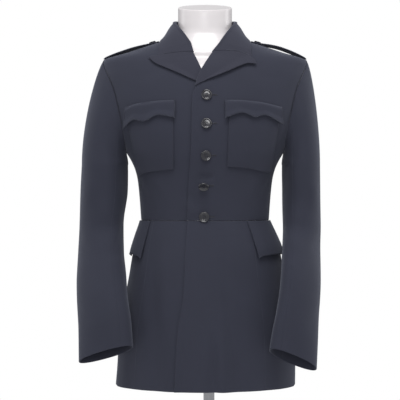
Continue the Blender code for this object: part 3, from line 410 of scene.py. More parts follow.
STRAP = table(
    "along x half_width",
    (0.00, 0.2160, 0.0235),
    (0.30, 0.1800, 0.0230),
    (0.80, 0.1180, 0.0205),
    (0.93, 0.1030, 0.0170),
    (1.00, 0.0975, 0.0085),
)
STRAP_ARCH = {"left": 0.0072, "right": 0.0042}
STRAP_CENTRE_Y = 0.002
STRAP_BUTTON_X = 0.1125


def smooth(xs, ys):
    """A cubic through the rows that never overshoots one of them."""
    order = np.argsort(xs)
    x, y = np.asarray(xs, float)[order], np.asarray(ys, float)[order]
    slopes = np.diff(y) / np.diff(x)
    product = slopes[:-1] * slopes[1:]
    total = np.where(product > 0, slopes[:-1] + slopes[1:], 1.0)
    inner = np.where(product > 0, 2 * product / total, 0.0)
    bends = np.concatenate((slopes[:1], inner, slopes[-1:]))

    def at(value):
        value = np.clip(value, x[0], x[-1])
        i = np.clip(np.searchsorted(x, value) - 1, 0, len(x) - 2)
        width = x[i + 1] - x[i]
        t = (value - x[i]) / width
        ends = y[i] * (1 + 2 * t) * (1 - t) ** 2 + y[i + 1] * t * t * (3 - 2 * t)
        return ends + width * (bends[i] * t * (1 - t) ** 2 - bends[i + 1] * t * t * (1 - t))

    return at


def columns_of(rows, key):
    """One smooth function of the key column for each other column."""
    return {name: smooth(rows[key], rows[name]) for name in rows if name != key}


def step(value):
    """0 below 0, 1 above 1 and smooth between."""
    value = np.clip(value, 0.0, 1.0)
    return value * value * (3 - 2 * value)


def hump(value):
    """1 at 0, falling smoothly to 0 at 1 on either side."""
    return step(1 - np.abs(value))


def lerp(a, b, t):
    return a + (b - a) * t


def unit(vectors):
    return vectors / np.maximum(np.linalg.norm(vectors, axis=-1, keepdims=True), 1e-12)


def across_only(vectors, way):
    """What is left of the vectors square to a way."""
    return vectors - np.sum(vectors * way, axis=-1, keepdims=True) * way


def signed_power(value, power):
    return np.copysign(np.abs(value) ** power, value)


def stack(*parts):
    return np.stack(np.broadcast_arrays(*parts), axis=-1)


class Rings:
    """Level rings round the body, from a table of half widths and depths."""

    def __init__(self, rows):
        found = columns_of(rows, "z")
        self.half_width, self.front, self.back = found["half_width"], found["front"], found["back"]
        self.power = found["power"]
        self.shift = found.get("shift", lambda z: 0.0)

    def point(self, angle, z):
        """Angle 0 is the centre front and a quarter turn is the wearer's left side."""
        depth = np.where(np.cos(angle) > 0, self.front(z), self.back(z))
        x = self.half_width(z) * signed_power(np.sin(angle), 2 / self.power(z))
        y = -depth * signed_power(np.cos(angle), 2 / self.power(z))
        return stack(self.shift(z) + x, y, z)

    def front_angle(self, x, z):
        away = x - self.shift(z)
        ratio = np.minimum(np.abs(away) / self.half_width(z), 1.0)
        return np.copysign(np.arcsin(ratio ** (self.power(z) / 2)), away)


BODY = Rings(BODICE)
HIPS = Rings(SKIRT)


def normal_of(surface, u, v):
    """The outward normal of a surface whose v runs up where u runs to the wearer's left."""
    small = 1e-4
    across = surface(u + small, v) - surface(u - small, v)
    up = surface(u, v + small) - surface(u, v - small)
    return unit(np.cross(across, up))


def moved_out(surface, lift, level=False):
    """The surface that lies lift(point) outside another, or that far out at the same height."""

    def at(u, v):
        point = surface(u, v)
        normal = normal_of(surface, u, v)
        if level:
            normal = unit(normal * np.array((1.0, 1.0, 0.0)))
        return point + normal * np.expand_dims(lift(point), -1)

    return at


LEFT_EDGE = smooth(FRONT_EDGE["z"], FRONT_EDGE["x"])
EDGE_SPRING = 0.0016
EDGE_SPRING_REACH = 0.014


def overlap_lift(point):
    """How far the left front stands off the body, where it covers the right one."""
    x, z = point[..., 0], point[..., 2]
    flat = OVERLAP_LIFT * (1 - step((x - OVERLAP_X) / OVERLAP_RAMP)) * (1 - step((z - 0.968) / 0.035))
    beside = 1 - step((np.abs(x + 0.005) - 0.017) / 0.030)
    over = 1 - step((np.abs(z - 0.946) - 0.022) / 0.040)
    below_roll = 1 - step((z - 0.930) / 0.030)
    spring = EDGE_SPRING * (1 - step((x - LEFT_EDGE(z)) / EDGE_SPRING_REACH)) * below_roll
    return flat + REVERS_STACK * beside * over + spring


def turn_of(point):
    return np.degrees(np.arctan2(point[..., 0], -point[..., 1]))


def skirt_fold(point):
    """How far the folds carry the skirt out of its rings or into them."""
    turn, z = turn_of(point), point[..., 2]
    total = 0.0
    for at_turn, top_z, bottom_z, drift, width, depth in zip(*SKIRT_FOLDS.values()):
        down = (top_z - z) / (top_z - bottom_z)
        away = (turn - at_turn - drift * down + 180) % 360 - 180
        total = total + depth * step(down) * hump(away / (2 * width))
    return total


CREASES = table(
    "turn z to_turn to_z width depth",
    (-16.0, 0.706, -10.0, 0.682, 0.008, -0.0026),
    (-21.0, 0.690, -13.0, 0.668, 0.009, 0.0020),
    (-8.0, 0.915, -2.0, 0.912, 0.004, -0.0009),
    (-5.0, 0.742, 6.0, 0.739, 0.007, -0.0032),
    (-5.0, 0.729, 4.0, 0.727, 0.006, 0.0018),
    (-60.0, 0.760, -40.0, 0.700, 0.012, 0.0012),
    (62.0, 0.770, 44.0, 0.705, 0.013, 0.0013),
    (70.0, 0.730, 56.0, 0.676, 0.010, -0.0012),
    (-74.0, 0.735, -58.0, 0.672, 0.011, -0.0013),
    (-38.0, 0.976, -56.0, 0.950, 0.014, -0.0010),
    (40.0, 0.978, 58.0, 0.945, 0.015, -0.0011),
    (118.0, 0.900, 128.0, 0.800, 0.015, -0.0022),
    (135.0, 0.870, 140.0, 0.740, 0.014, 0.0018),
    (-120.0, 0.905, -131.0, 0.790, 0.016, -0.0020),
    (-139.0, 0.860, -143.0, 0.735, 0.014, 0.0020),
    (150.0, 0.720, 168.0, 0.690, 0.010, -0.0016),
    (-148.0, 0.715, -170.0, 0.684, 0.011, -0.0018),
    (160.0, 1.010, -168.0, 1.006, 0.012, -0.0012),
    (-50.0, 0.575, -44.0, 0.430, 0.016, -0.0034),
    (-40.0, 0.560, -36.0, 0.430, 0.014, 0.0018),
    (4.0, 0.640, 9.0, 0.634, 0.009, -0.0008),
    (36.0, 0.640, 45.0, 0.600, 0.010, -0.0012),
    (7.0, 0.395, 8.0, 0.290, 0.008, -0.0034),
    (12.0, 0.400, 13.5, 0.290, 0.009, 0.0022),
    (17.0, 0.590, 19.0, 0.400, 0.012, -0.0022),
)
GIRTH = 0.125


def segment_fade(across, along, row):
    """The share of a crease that reaches a point of the unrolled cloth."""
    start, end = row[0:2], row[2:4]
    way = end - start
    length = np.hypot(*way)
    way = way / length
    a, b = across - start[0], along - start[1]
    t = (a * way[0] + b * way[1]) / length
    off = np.abs(a * way[1] - b * way[0])
    ends = step(np.minimum(t + 0.35, 1.35 - t) / 0.55)
    return np.exp(-((off / row[4]) ** 2)) * ends


def creases(point):
    """Soft troughs and ridges, each between two points of the unrolled cloth."""
    turn = turn_of(point)
    total = 0.0
    for turn_a, z_a, turn_b, z_b, width, depth in zip(*CREASES.values()):
        middle = turn_a
        away = (turn - middle + 180) % 360 - 180
        reach = (turn_b - turn_a + 180) % 360 - 180
        row = np.array((0.0, z_a, math.radians(reach) * GIRTH, z_b, width))
        total = total + depth * segment_fade(np.radians(away) * GIRTH, point[..., 2], row)
    return total


def bodice_lift(point):
    return creases(point)


def left_bodice_lift(point):
    return overlap_lift(point) + creases(point)


def skirt_lift(point):
    return skirt_fold(point) + creases(point)


def left_skirt_lift(point):
    return overlap_lift(point) + skirt_fold(point) + creases(point)


CLOTH = {
    "left": moved_out(BODY.point, left_bodice_lift, level=True),
    "right": moved_out(BODY.point, bodice_lift, level=True),
    "back": moved_out(BODY.point, bodice_lift, level=True),
    "left_skirt": moved_out(HIPS.point, left_skirt_lift, level=True),
    "right_skirt": moved_out(HIPS.point, skirt_lift, level=True),
    "back_skirt": moved_out(HIPS.point, skirt_lift, level=True),
}


def new_piece(name, points, faces, looks, smooth_shade=True, closed=True):
    """One object in the row frame, made from points in the garment's frame."""
    mesh = bpy.data.meshes.new(name)
    mesh.from_pydata([tuple(map(float, p)) for p in points], [], faces)
    if closed:
        work = bmesh.new()
        work.from_mesh(mesh)
        bmesh.ops.recalc_face_normals(work, faces=work.faces)
        work.to_mesh(mesh)
        work.free()
    if smooth_shade:
        mesh.shade_smooth()
    for look in looks:
        mesh.materials.append(look)
    obj = bpy.data.objects.new(name, mesh)
    bpy.context.scene.collection.objects.link(obj)
    return obj


def grid_normals(grid):
    """The normal at each point of a grid, from its neighbours."""
    along = np.gradient(grid, axis=0)
    across = np.gradient(grid, axis=1)
    return unit(np.cross(across, along))


def with_holds(grid, distance):
    """The grid with one more line just inside each of its four edges."""
    for axis in (0, 1):
        lines = np.moveaxis(grid, axis, 0)
        first = lines[0] + unit(lines[1] - lines[0]) * distance
        last = lines[-1] + unit(lines[-2] - lines[-1]) * distance
        lines = np.concatenate((lines[:1], first[None], lines[1:-1], last[None], lines[-1:]))
        grid = np.moveaxis(lines, 0, axis)
    return grid


def rim_of(rows, columns):
    rim = [(0, c) for c in range(columns)] + [(r, columns - 1) for r in range(1, rows)]
    rim += [(rows - 1, c) for c in range(columns - 2, -1, -1)] + [(r, 0) for r in range(rows - 2, 0, -1)]
    return rim


def arc_uv(grid):
    """Where each point of the grid lies on the flat cloth, in metres."""
    across = np.linalg.norm(np.diff(grid, axis=1), axis=2)
    along = np.linalg.norm(np.diff(grid, axis=0), axis=2)
    u = np.concatenate((np.zeros((len(grid), 1)), np.cumsum(across, axis=1)), axis=1)
    u = u - u.mean(axis=1, keepdims=True)
    v = np.concatenate((np.zeros((1, grid.shape[1])), np.cumsum(along, axis=0)), axis=0)
    return np.stack((u, np.broadcast_to(v.mean(axis=1, keepdims=True), u.shape)), axis=-1)


def shell(name, outer, wall, looks, edge=0.0008, hold=0.0016, middle=False, lined_rows=None):
    """A closed cloth wall with rounded edges, from a grid of points on its outer face."""
    outer = with_holds(np.asarray(outer, float), hold)
    rows, columns = outer.shape[:2]
    normals = grid_normals(outer)
    if middle:
        outer = outer + normals * wall / 2
    inner = outer - normals * wall
    uv = arc_uv(outer)
    rim = rim_of(rows, columns)
    at = tuple(np.array(rim).T)
    inward = np.zeros((rows, columns, 3))
    inward[0] += unit(outer[1] - outer[0])
    inward[-1] += unit(outer[-2] - outer[-1])
    inward[:, 0] += unit(outer[:, 1] - outer[:, 0])
    inward[:, -1] += unit(outer[:, -2] - outer[:, -1])
    pull = inward[at] * edge
    top, bottom, down = outer[at], inner[at], -normals[at]
    loops = [
        top + pull * 0.3 + down * edge * 0.3,
        top + down * edge,
        bottom - down * edge,
        bottom + pull * 0.3 - down * edge * 0.3,
    ]
    outer[at] = top + pull
    inner[at] = bottom + pull
    points = np.concatenate((outer.reshape(-1, 3), inner.reshape(-1, 3), *loops))
    layer = rows * columns
    index = np.arange(layer).reshape(rows, columns)
    quads = np.stack((index[:-1, :-1], index[:-1, 1:], index[1:, 1:], index[1:, :-1]), axis=-1).reshape(-1, 4)
    faces = [tuple(q) for q in quads] + [tuple(q) for q in quads + layer]
    edge_index = index[at]
    size = len(rim)
    lines = [edge_index] + [2 * layer + k * size + np.arange(size) for k in range(4)] + [edge_index + layer]
    for a, b in zip(lines[:-1], lines[1:]):
        for k in range(size):
            n = (k + 1) % size
            faces.append((int(a[k]), int(a[n]), int(b[n]), int(b[k])))
    obj = new_piece(name, points + np.array((GARMENT_X, 0, 0)), [tuple(map(int, f)) for f in faces], looks)
    uvs = np.concatenate((uv.reshape(-1, 2), uv.reshape(-1, 2), *[uv[at]] * 4))
    mesh = obj.data
    layer_uv = mesh.uv_layers.new(name="cloth")
    loop_points = np.empty(len(mesh.loops), np.int32)
    mesh.loops.foreach_get("vertex_index", loop_points)
    layer_uv.data.foreach_set("uv", uvs[loop_points].astype(np.float32).ravel())
    if lined_rows is not None:
        slots = np.zeros(len(mesh.polygons), np.int32)
        first = len(quads)
        slots[first : first + len(quads)] = np.arange(len(quads)) // (columns - 1) < lined_rows
        mesh.polygons.foreach_set("material_index", slots)
    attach(obj, "root")
    return obj


def outline_size(grid):
    """Width, length and area of a grid laid flat."""
    grid = np.asarray(grid)
    across = np.linalg.norm(np.diff(grid, axis=1), axis=2).sum(axis=1).max()
    along = np.linalg.norm(np.diff(grid, axis=0), axis=2).sum(axis=0).max()
    a, b = grid[1:, :-1] - grid[:-1, :-1], grid[:-1, 1:] - grid[:-1, :-1]
    c, d = grid[1:, :-1] - grid[1:, 1:], grid[:-1, 1:] - grid[1:, 1:]
    area = (np.linalg.norm(np.cross(a, b), axis=2) + np.linalg.norm(np.cross(c, d), axis=2)).sum() / 2
    return across, along, area


def row_ends(*rows):
    """Both ends of each key row: angle and height of the first, then of the last."""
    return np.array([[*start, *end] for start, end in rows], float)


def fine_grid(surface, ends, row_count, column_count):
    """Points of a surface between the two ends of its key rows, on even finer rows."""
    keys = np.arange(len(ends))
    at = np.linspace(0, len(ends) - 1, row_count)
    u0, v0, u1, v1 = (smooth(keys, column)(at)[:, None] for column in ends.T)
    t = np.linspace(0, 1, column_count)
    return surface(lerp(u0, u1, t), lerp(v0, v1, t))


def seam_step(angle):
    """Half a seam's gap as an angle, smaller where the rings' corners stretch it."""
    quarter = abs((math.degrees(angle) + 45) % 90 - 45)
    return -0.0002 if quarter < 1 else -0.0016


def arm_curve(part):
    """The armhole's x and z as functions of the share of its height from the armpit."""
    rows = ARMHOLE[part]
    steps = np.hypot(np.diff(rows["x"]), np.diff(rows["z"]))
    along = np.concatenate(([0.0], np.cumsum(steps))) / steps.sum()
    return smooth(along, rows["x"]), smooth(along, rows["z"])


ARM_CURVES = {part: arm_curve(part) for part in ARMHOLE}


def armhole_angle(part, side, share):
    """Angle and height of the armhole's edge."""
    x_at, z_at = ARM_CURVES[part]
    z = z_at(share)
    angle = np.where(share >= 1.0, math.pi / 2, np.abs(BODY.front_angle(x_at(share), z)))
    if part == "back":
        angle = math.pi - angle
    return SIDES[side] * angle, z


def side_seam(z):
    """The side seam's turn from the centre front."""
    if z >= WAIST_Z:
        share = (z - WAIST_Z) / (ARMPIT_Z - WAIST_Z)
        return math.radians(lerp(SIDE_SEAM_AT_WAIST, SIDE_SEAM_AT_ARMPIT, min(share, 1.0)))
    share = (WAIST_Z - z) / (WAIST_Z - HEM_Z)
    return math.radians(lerp(SIDE_SEAM_AT_WAIST, SIDE_SEAM_AT_HEM, share))


WAIST_ROWS = (WAIST_Z + SEAM / 2, 0.6800, 0.7150, 0.7400, 0.7600, 0.7780, ARMPIT_Z)
SKIRT_ROWS = (WAIST_Z - SEAM / 2, 0.630, 0.605, 0.575, 0.535, 0.490, VENT_TOP_Z, 0.405, 0.355, HEM_Z)


def front_edge(side):
    return smooth(FRONT_EDGE["z"], FRONT_EDGE["x"]) if side == "left" else (lambda z: UNDER_EDGE_X)


def front_bodice(side, look):
    """From the front edge and roll line to the side seam and armhole."""
    sign, edge = SIDES[side], front_edge(side)
    rows = []
    for z in WAIST_ROWS:
        rows.append(((BODY.front_angle(edge(z), z), z), (sign * (side_seam(z) - seam_step(side_seam(z))), z)))
    for x, z, share in zip(*FRONT_ROWS[side].values()):
        angle, outer_z = armhole_angle("front", side, share)
        start = BODY.front_angle(x, z)
        if share >= 1.0:
            start = angle = sign * (math.pi / 2 - seam_step(math.pi / 2))
        rows.append(((start, z), (angle, outer_z)))
    return cloth(f"front_{side}_bodice", fine_grid(CLOTH[side], row_ends(*rows), 76, 56), look)


def back_bodice(side, look):
    """From the centre back seam and neck seam to the side seam and armhole."""
    sign = SIDES[side]
    centre = math.pi - seam_step(math.pi)
    rows = []
    for z in WAIST_ROWS:
        rows.append(((sign * centre, z), (sign * (side_seam(z) + seam_step(side_seam(z))), z)))
    for turn, z, share in zip(*BACK_ROWS.values()):
        angle, outer_z = armhole_angle("back", side, share)
        start = sign * min(math.radians(turn), centre)
        if share >= 1.0:
            start = angle = sign * (math.pi / 2 + seam_step(math.pi / 2))
        rows.append(((start, z), (angle, outer_z)))
    return cloth(f"back_{side}_bodice", fine_grid(CLOTH["back"], row_ends(*rows), 72, 48), look)


def front_skirt(side, look):
    """From the front edge to the side front seam."""
    sign, edge = SIDES[side], front_edge(side)
    seam = math.radians(SIDE_FRONT_SEAM[side])
    outer = sign * (seam - seam_step(seam))
    rows = [((HIPS.front_angle(edge(z), z), z), (outer, z)) for z in SKIRT_ROWS]
    return cloth(f"front_{side}_skirt", fine_grid(CLOTH[f"{side}_skirt"], row_ends(*rows), 64, 52), look)


VENT_STAND = WALL + 0.0006
VENT_RAMP = 0.020


def vent_lift(side, point):
    """The side skirt stands off the back skirt's underlap in the vent."""
    x, z = point[..., 0], point[..., 2]
    down = step((VENT_TOP_Z + VENT_RAMP - z) / VENT_RAMP)
    past_seam = np.degrees(np.abs(HIPS.front_angle(x, z))) - SIDE_FRONT_SEAM[side] - 2.0
    return VENT_STAND * down * step(past_seam / 12)


def side_skirt(side, look):
    """From the side front seam to the side seam, and over the vent below it."""
    sign = SIDES[side]
    seam = math.radians(SIDE_FRONT_SEAM[side])
    lift = left_skirt_lift if side == "left" else skirt_lift
    surface = moved_out(HIPS.point, lambda point: lift(point) + vent_lift(side, point), level=True)
    rows = []
    for z in SKIRT_ROWS:
        outer = side_seam(z) - seam_step(side_seam(z))
        rows.append(((sign * (seam + seam_step(seam)), z), (sign * outer, z)))
    return cloth(f"side_{side}_skirt", fine_grid(surface, row_ends(*rows), 64, 24), look)


def back_skirt(side, look):
    """From the centre back seam to the side seam, with an underlap in the vent."""
    sign = SIDES[side]
    centre = math.pi - seam_step(math.pi)
    rows = []
    for z in SKIRT_ROWS:
        under = math.radians(VENT_UNDERLAP) if z < VENT_TOP_Z else 0.0
        outer = side_seam(z) + seam_step(side_seam(z)) - under
        rows.append(((sign * centre, z), (sign * outer, z)))
    return cloth(f"back_{side}_skirt", fine_grid(CLOTH["back_skirt"], row_ends(*rows), 64, 52), look)


def fold_section(seam, crest, outward, roll, stand, leaf, leaf_steps):
    """Middle line of a folded piece: up its stand, round the fold and down its leaf."""
    up = unit(crest - seam)
    out = unit(across_only(outward, up))
    foot = seam - out * WALL / 2
    height = np.dot(crest - foot, up)
    centre = foot + up * (height - roll) + out * roll
    path = [foot + up * lerp(2 * RESTING_GAP, height - roll, t) for t in stand]
    path += [centre + roll * (up * math.sin(a) - out * math.cos(a)) for a in np.linspace(0, math.pi, 9)]
    return np.concatenate((path, leaf(np.linspace(0, 1, leaf_steps + 1)[1:])))


def revers_row(side, index):
    """Row of a revers: the surface points from the roll line to its outer edge, and its roll."""
    front, revers = FRONT_ROWS[side], REVERS[side]
    rows = np.arange(len(revers["roll"]))
    roll_rows = slice(ROLL_FIRST, ROLL_LAST + 1)
    start = np.array([smooth(rows, front[name][roll_rows])(index) for name in ("x", "z")])
    end = np.array([smooth(rows, revers[name])(index) for name in ("edge_x", "edge_z")])
    bend = np.array([smooth(rows, revers[name])(index) for name in ("bend_x", "bend_z")])
    middle = (start + end) / 2 + bend

    def flat(t):
        t = np.asarray(t, float)[..., None]
        return start * (1 - t) ** 2 + middle * 2 * t * (1 - t) + end * t * t

    return flat, smooth(rows, revers["roll"])(index)


def on_front(side, places):
    """Points of a front's outer face at their x and z, and the normals there."""
    x, z = places[..., 0], places[..., 1]
    angle = BODY.front_angle(x, z)
    return CLOTH[side](angle, z), normal_of(CLOTH[side], angle, z)


# How far the edge of a leaf stands off the front below it
REVERS_SPRING = {"left": 0.0038, "right": 0.0024}


def revers_leaf(side, flat, roll, reach=1.0, spring=0.0):
    """The leaf of a revers row, settling from the fold's height onto the front."""

    def at(t):
        point, normal = on_front(side, flat(t * reach))
        height = lerp(2 * roll - WALL / 2, WALL / 2 + RESTING_GAP, step(t * 1.1))
        return point + normal * (height + spring * step((t - 0.55) / 0.45))[:, None]

    return at


def lapel(side, look):
    """The revers, folded out over the front along the roll line."""
    grid = []
    last = len(REVERS[side]["roll"]) - 1
    for index in np.linspace(0, last, 60):
        flat, roll = revers_row(side, index)
        places, normals = on_front(side, flat(np.array((0.0, 0.02))))
        crest = places[0] - unit(places[1] - places[0]) * (roll + RESTING_GAP)
        spring = REVERS_SPRING[side] * step(index / 1.5)
        leaf = revers_leaf(side, flat, roll, spring=spring)
        grid.append(fold_section(places[0], crest, normals[0], roll, (), leaf, 30))
    return cloth(f"lapel_{side}", grid, look, middle=True)


def collar_half(side):
    """Sections of the collar from the gorge to the centre back."""
    sign = SIDES[side]
    flat, roll = revers_row(side, len(REVERS[side]["roll"]) - 1)
    first = gorge_section(side, flat, roll)
    rows = {name: smooth(np.arange(1, 7), values) for name, values in COLLAR.items()}
    sections = []
    for index in np.linspace(1, 6, 56):
        at = {name: row(index) for name, row in rows.items()}
        seam_angle = sign * math.radians(at["seam_turn"])
        edge_angle = sign * math.radians(at["edge_turn"])
        layer = CLOTH["back"] if at["seam_turn"] >= 90 else CLOTH[side]
        seam = layer(seam_angle, at["seam_z"])
        crest = np.array((sign * at["crest_x"], at["crest_y"], at["crest_z"]))
        normal = normal_of(BODY.point, seam_angle, at["seam_z"])
        edge = layer(edge_angle, at["edge_z"])
        edge = edge + normal_of(BODY.point, edge_angle, at["edge_z"]) * (WALL / 2 + COLLAR_LIFT)
        sections.append(free_section(seam, crest, normal, edge))
    lead = [lerp(first, sections[0], t) for t in np.linspace(0, 1, 12)[:-1]]
    return lead + sections


GORGE_RISE = 0.0004


def gorge_section(side, flat, roll):
    """The collar's end, beside the top row of the revers."""
    reach = NOTCH_ALONG[side]
    rise = np.array((0.0, GORGE_RISE))

    def raised(t):
        return flat(t) + rise

    places, normals = on_front(side, raised(np.array((0.0, 0.02))))
    crest = places[0] - unit(places[1] - places[0]) * (roll + 0.0020)
    leaf = revers_leaf(side, raised, roll, reach)
    return fold_section(places[0], crest, normals[0], roll, np.linspace(0, 0.9, 6), leaf, 28)


def free_section(seam, crest, normal, edge):
    """A section of the collar clear of the fronts, its leaf falling to the edge."""
    up = unit(crest - seam)
    out = unit(across_only(normal, up))
    start = crest + (out - up) * COLLAR_ROLL

    def leaf(t):
        t = t[:, None]
        return lerp(start, edge, t) + out * 0.0035 * np.sin(math.pi * t) * (1 - t)

    return fold_section(seam, crest, normal, COLLAR_ROLL, np.linspace(0, 0.9, 6), leaf, 28)


def collar(look):
    """One folded piece round the neck, from gorge to gorge."""
    right, left = collar_half("right"), collar_half("left")
    return cloth("collar", right + left[-2::-1], look, middle=True)


def patch_grid(side, edges, lift, rows, columns):
    """Points a lift outside a front, from an outline's x and z by the share across and down."""
    down = np.linspace(0, 1, rows)[:, None]
    across = np.linspace(0, 1, columns)[None, :]
    x, z = edges(across, down)
    z = np.broadcast_to(z, x.shape)
    surface = moved_out(CLOTH[side], lambda point: lift(across, down) + 0 * point[..., 0])
    return surface(BODY.front_angle(x, z), z)


def chest_pocket(side, look):
    """A patch pocket, sewn to the front on three sides and open under its flap."""
    at = columns_of(CHEST_POCKET[side], "across")

    def edges(across, down):
        x = lerp(at["top_x"](across), at["bottom_x"](across), down)
        return x, lerp(at["top_z"](across), at["bottom_z"](across), down)

    def lift(across, down):
        level = np.sin(math.pi * np.clip(across, 0, 1)) ** 0.7
        puff = 0.0016 * level * np.sin(math.pi * np.clip(down * 0.9, 0, 1)) ** 0.7
        return 2 * RESTING_GAP + POCKET_WALL + puff

    grid = patch_grid(side, edges, lift, 44, 36)
    return cloth(f"chest_pocket_{side}", grid, look, wall=POCKET_WALL)


def chest_flap(side, look):
    """A flap with a scalloped lower edge, over the pocket's mouth."""
    at = columns_of(CHEST_FLAP[side], "across")

    def edges(across, down):
        x = at["x"](across) + 0 * down
        return x, lerp(at["top_z"](across), at["bottom_z"](across), down)

    def lift(across, down):
        over = (POCKET_WALL + 2 * RESTING_GAP) * step(down / 0.2)
        curl = 0.0026 * step((down - 0.55) / 0.45)
        return RESTING_GAP + FLAP_WALL + over + 0.0008 * down + curl + 0 * across

    return cloth(f"chest_flap_{side}", patch_grid(side, edges, lift, 26, 84), look, wall=FLAP_WALL)


def hip_flap(side, look):
    """A pocket flap that hangs from the waist seam, clear of the skirt at its foot."""
    sign = SIDES[side]
    at = columns_of(HIP_FLAP[side], "across")
    across = np.linspace(0, 1, 56)[None, :]
    down = np.linspace(0, 1, 30)[:, None]
    lift = RESTING_GAP + FLAP_WALL / 2 + 0.0042 * step(down)
    surface = moved_out(CLOTH[f"{side}_skirt"], lambda point: lift + 0 * point[..., 0])
    turn = lerp(at["top_turn"](across), at["bottom_turn"](across), down)
    z = lerp(WAIST_Z - 0.0012, at["bottom_z"](across), down)
    grid = surface(sign * np.radians(turn), z)
    return cloth(f"hip_flap_{side}", grid, look, wall=FLAP_WALL, middle=True)


def shoulder_top(x, y):
    """Height of the shoulder's upper face over a point."""
    x, y = np.broadcast_arrays(np.asarray(x, float), np.asarray(y, float))
    low, high = np.full(x.shape, 0.930), np.full(x.shape, 1.048)
    for _ in range(40):
        z = (low + high) / 2
        depth = np.where(y < 0, BODY.front(z), BODY.back(z))
        inside = (np.abs(x) / BODY.half_width(z)) ** BODY.power(z) + (np.abs(y) / depth) ** BODY.power(z)
        low, high = np.where(inside < 1, z, low), np.where(inside < 1, high, z)
    return low


def strap_height(side, along):
    """The strap's middle over the shoulder, arched between its sewn end and its button."""
    rise = STRAP_ARCH[side] * np.sin(math.pi * np.minimum(along / 0.86, 1.0)) ** 1.3
    return FLAP_WALL / 2 + 0.0013 + rise


def epaulette(side, look):
    """A shoulder strap from the sleeve head towards the collar, with a blunt point."""
    at = columns_of(STRAP, "along")
    along = np.concatenate((np.linspace(0, 0.9, 34), np.linspace(0.915, 1.0, 9)))[:, None]
    across = np.linspace(-1, 1, 22)[None, :]
    x = SIDES[side] * at["x"](along)
    y = STRAP_CENTRE_Y + across * at["half_width"](along)
    x = x + 0 * y
    grid = stack(x, y, shoulder_top(x, y) + strap_height(side, along))
    return cloth(f"epaulette_{side}", grid, look, wall=FLAP_WALL, middle=True)


ARM_ROWS = {side: columns_of(rows, "z") for side, rows in SLEEVE.items()}


def arm_ring(side, z, turn, half_turn_power=2 / 2.2):
    """Point of the sleeve's ring at a height: turn 0 is outward and a quarter turn is the front."""
    at = ARM_ROWS[side]
    across = signed_power(np.cos(turn), half_turn_power)
    ahead = signed_power(np.sin(turn), half_turn_power)
    outer, inner = at["outer"](z), at["inner"](z)
    x = (outer + inner) / 2 + across * (outer - inner) / 2
    y = at["centre_y"](z) - ahead * at["depth"](z) / 2 + across * at["skew"](z)
    height = z - across * at["rise_in"](z) / 2 + ahead * at["rise_front"](z) / 2
    return stack(SIDES[side] * x, y, height)


def armhole_point(side, turn):
    turn = turn % (2 * math.pi)
    ahead = turn <= math.pi
    share = np.where(ahead, 1 - turn / math.pi, turn / math.pi - 1)
    front_angle, front_z = armhole_angle("front", side, share)
    back_angle, back_z = armhole_angle("back", side, share)
    angle, z = np.where(ahead, front_angle, back_angle), np.where(ahead, front_z, back_z)
    return BODY.point(angle, z)


def sleeve_fold(turn, share):
    total = 0.0
    for at_turn, at_share, reach, spread, depth in zip(*SLEEVE_FOLDS.values()):
        away = (np.degrees(turn) - at_turn + 180) % 360 - 180
        total = total + depth * hump(away / spread) * hump((share - at_share) / reach)
    return total


SLEEVE_CREASES = table(
    "turn share to_turn to_share width depth",
    (128.0, 0.66, 165.0, 0.60, 0.010, -0.0016),
    (112.0, 0.72, 150.0, 0.70, 0.009, 0.0012),
    (240.0, 0.60, 275.0, 0.68, 0.012, -0.0020),
    (225.0, 0.70, 262.0, 0.74, 0.011, 0.0016),
    (100.0, 0.20, 118.0, 0.36, 0.013, -0.0020),
    (262.0, 0.18, 246.0, 0.36, 0.014, -0.0022),
    (66.0, 0.10, 84.0, 0.30, 0.016, -0.0012),
    (30.0, 0.62, 62.0, 0.66, 0.012, -0.0010),
    (20.0, 0.84, 58.0, 0.90, 0.013, -0.0009),
    (310.0, 0.56, 340.0, 0.64, 0.014, -0.0014),
    (330.0, 0.78, 300.0, 0.86, 0.014, 0.0012),
)
ARM_GIRTH, ARM_LENGTH = 0.058, 0.62


def sleeve_crease(turn, share):
    total = 0.0
    for turn_a, share_a, turn_b, share_b, width, depth in zip(*SLEEVE_CREASES.values()):
        away = (np.degrees(turn) - turn_a + 180) % 360 - 180
        reach = (turn_b - turn_a + 180) % 360 - 180
        row = np.array((0.0, share_a * ARM_LENGTH, math.radians(reach) * ARM_GIRTH, share_b * ARM_LENGTH, width))
        total = total + depth * segment_fade(np.radians(away) * ARM_GIRTH, share * ARM_LENGTH, row)
    return total


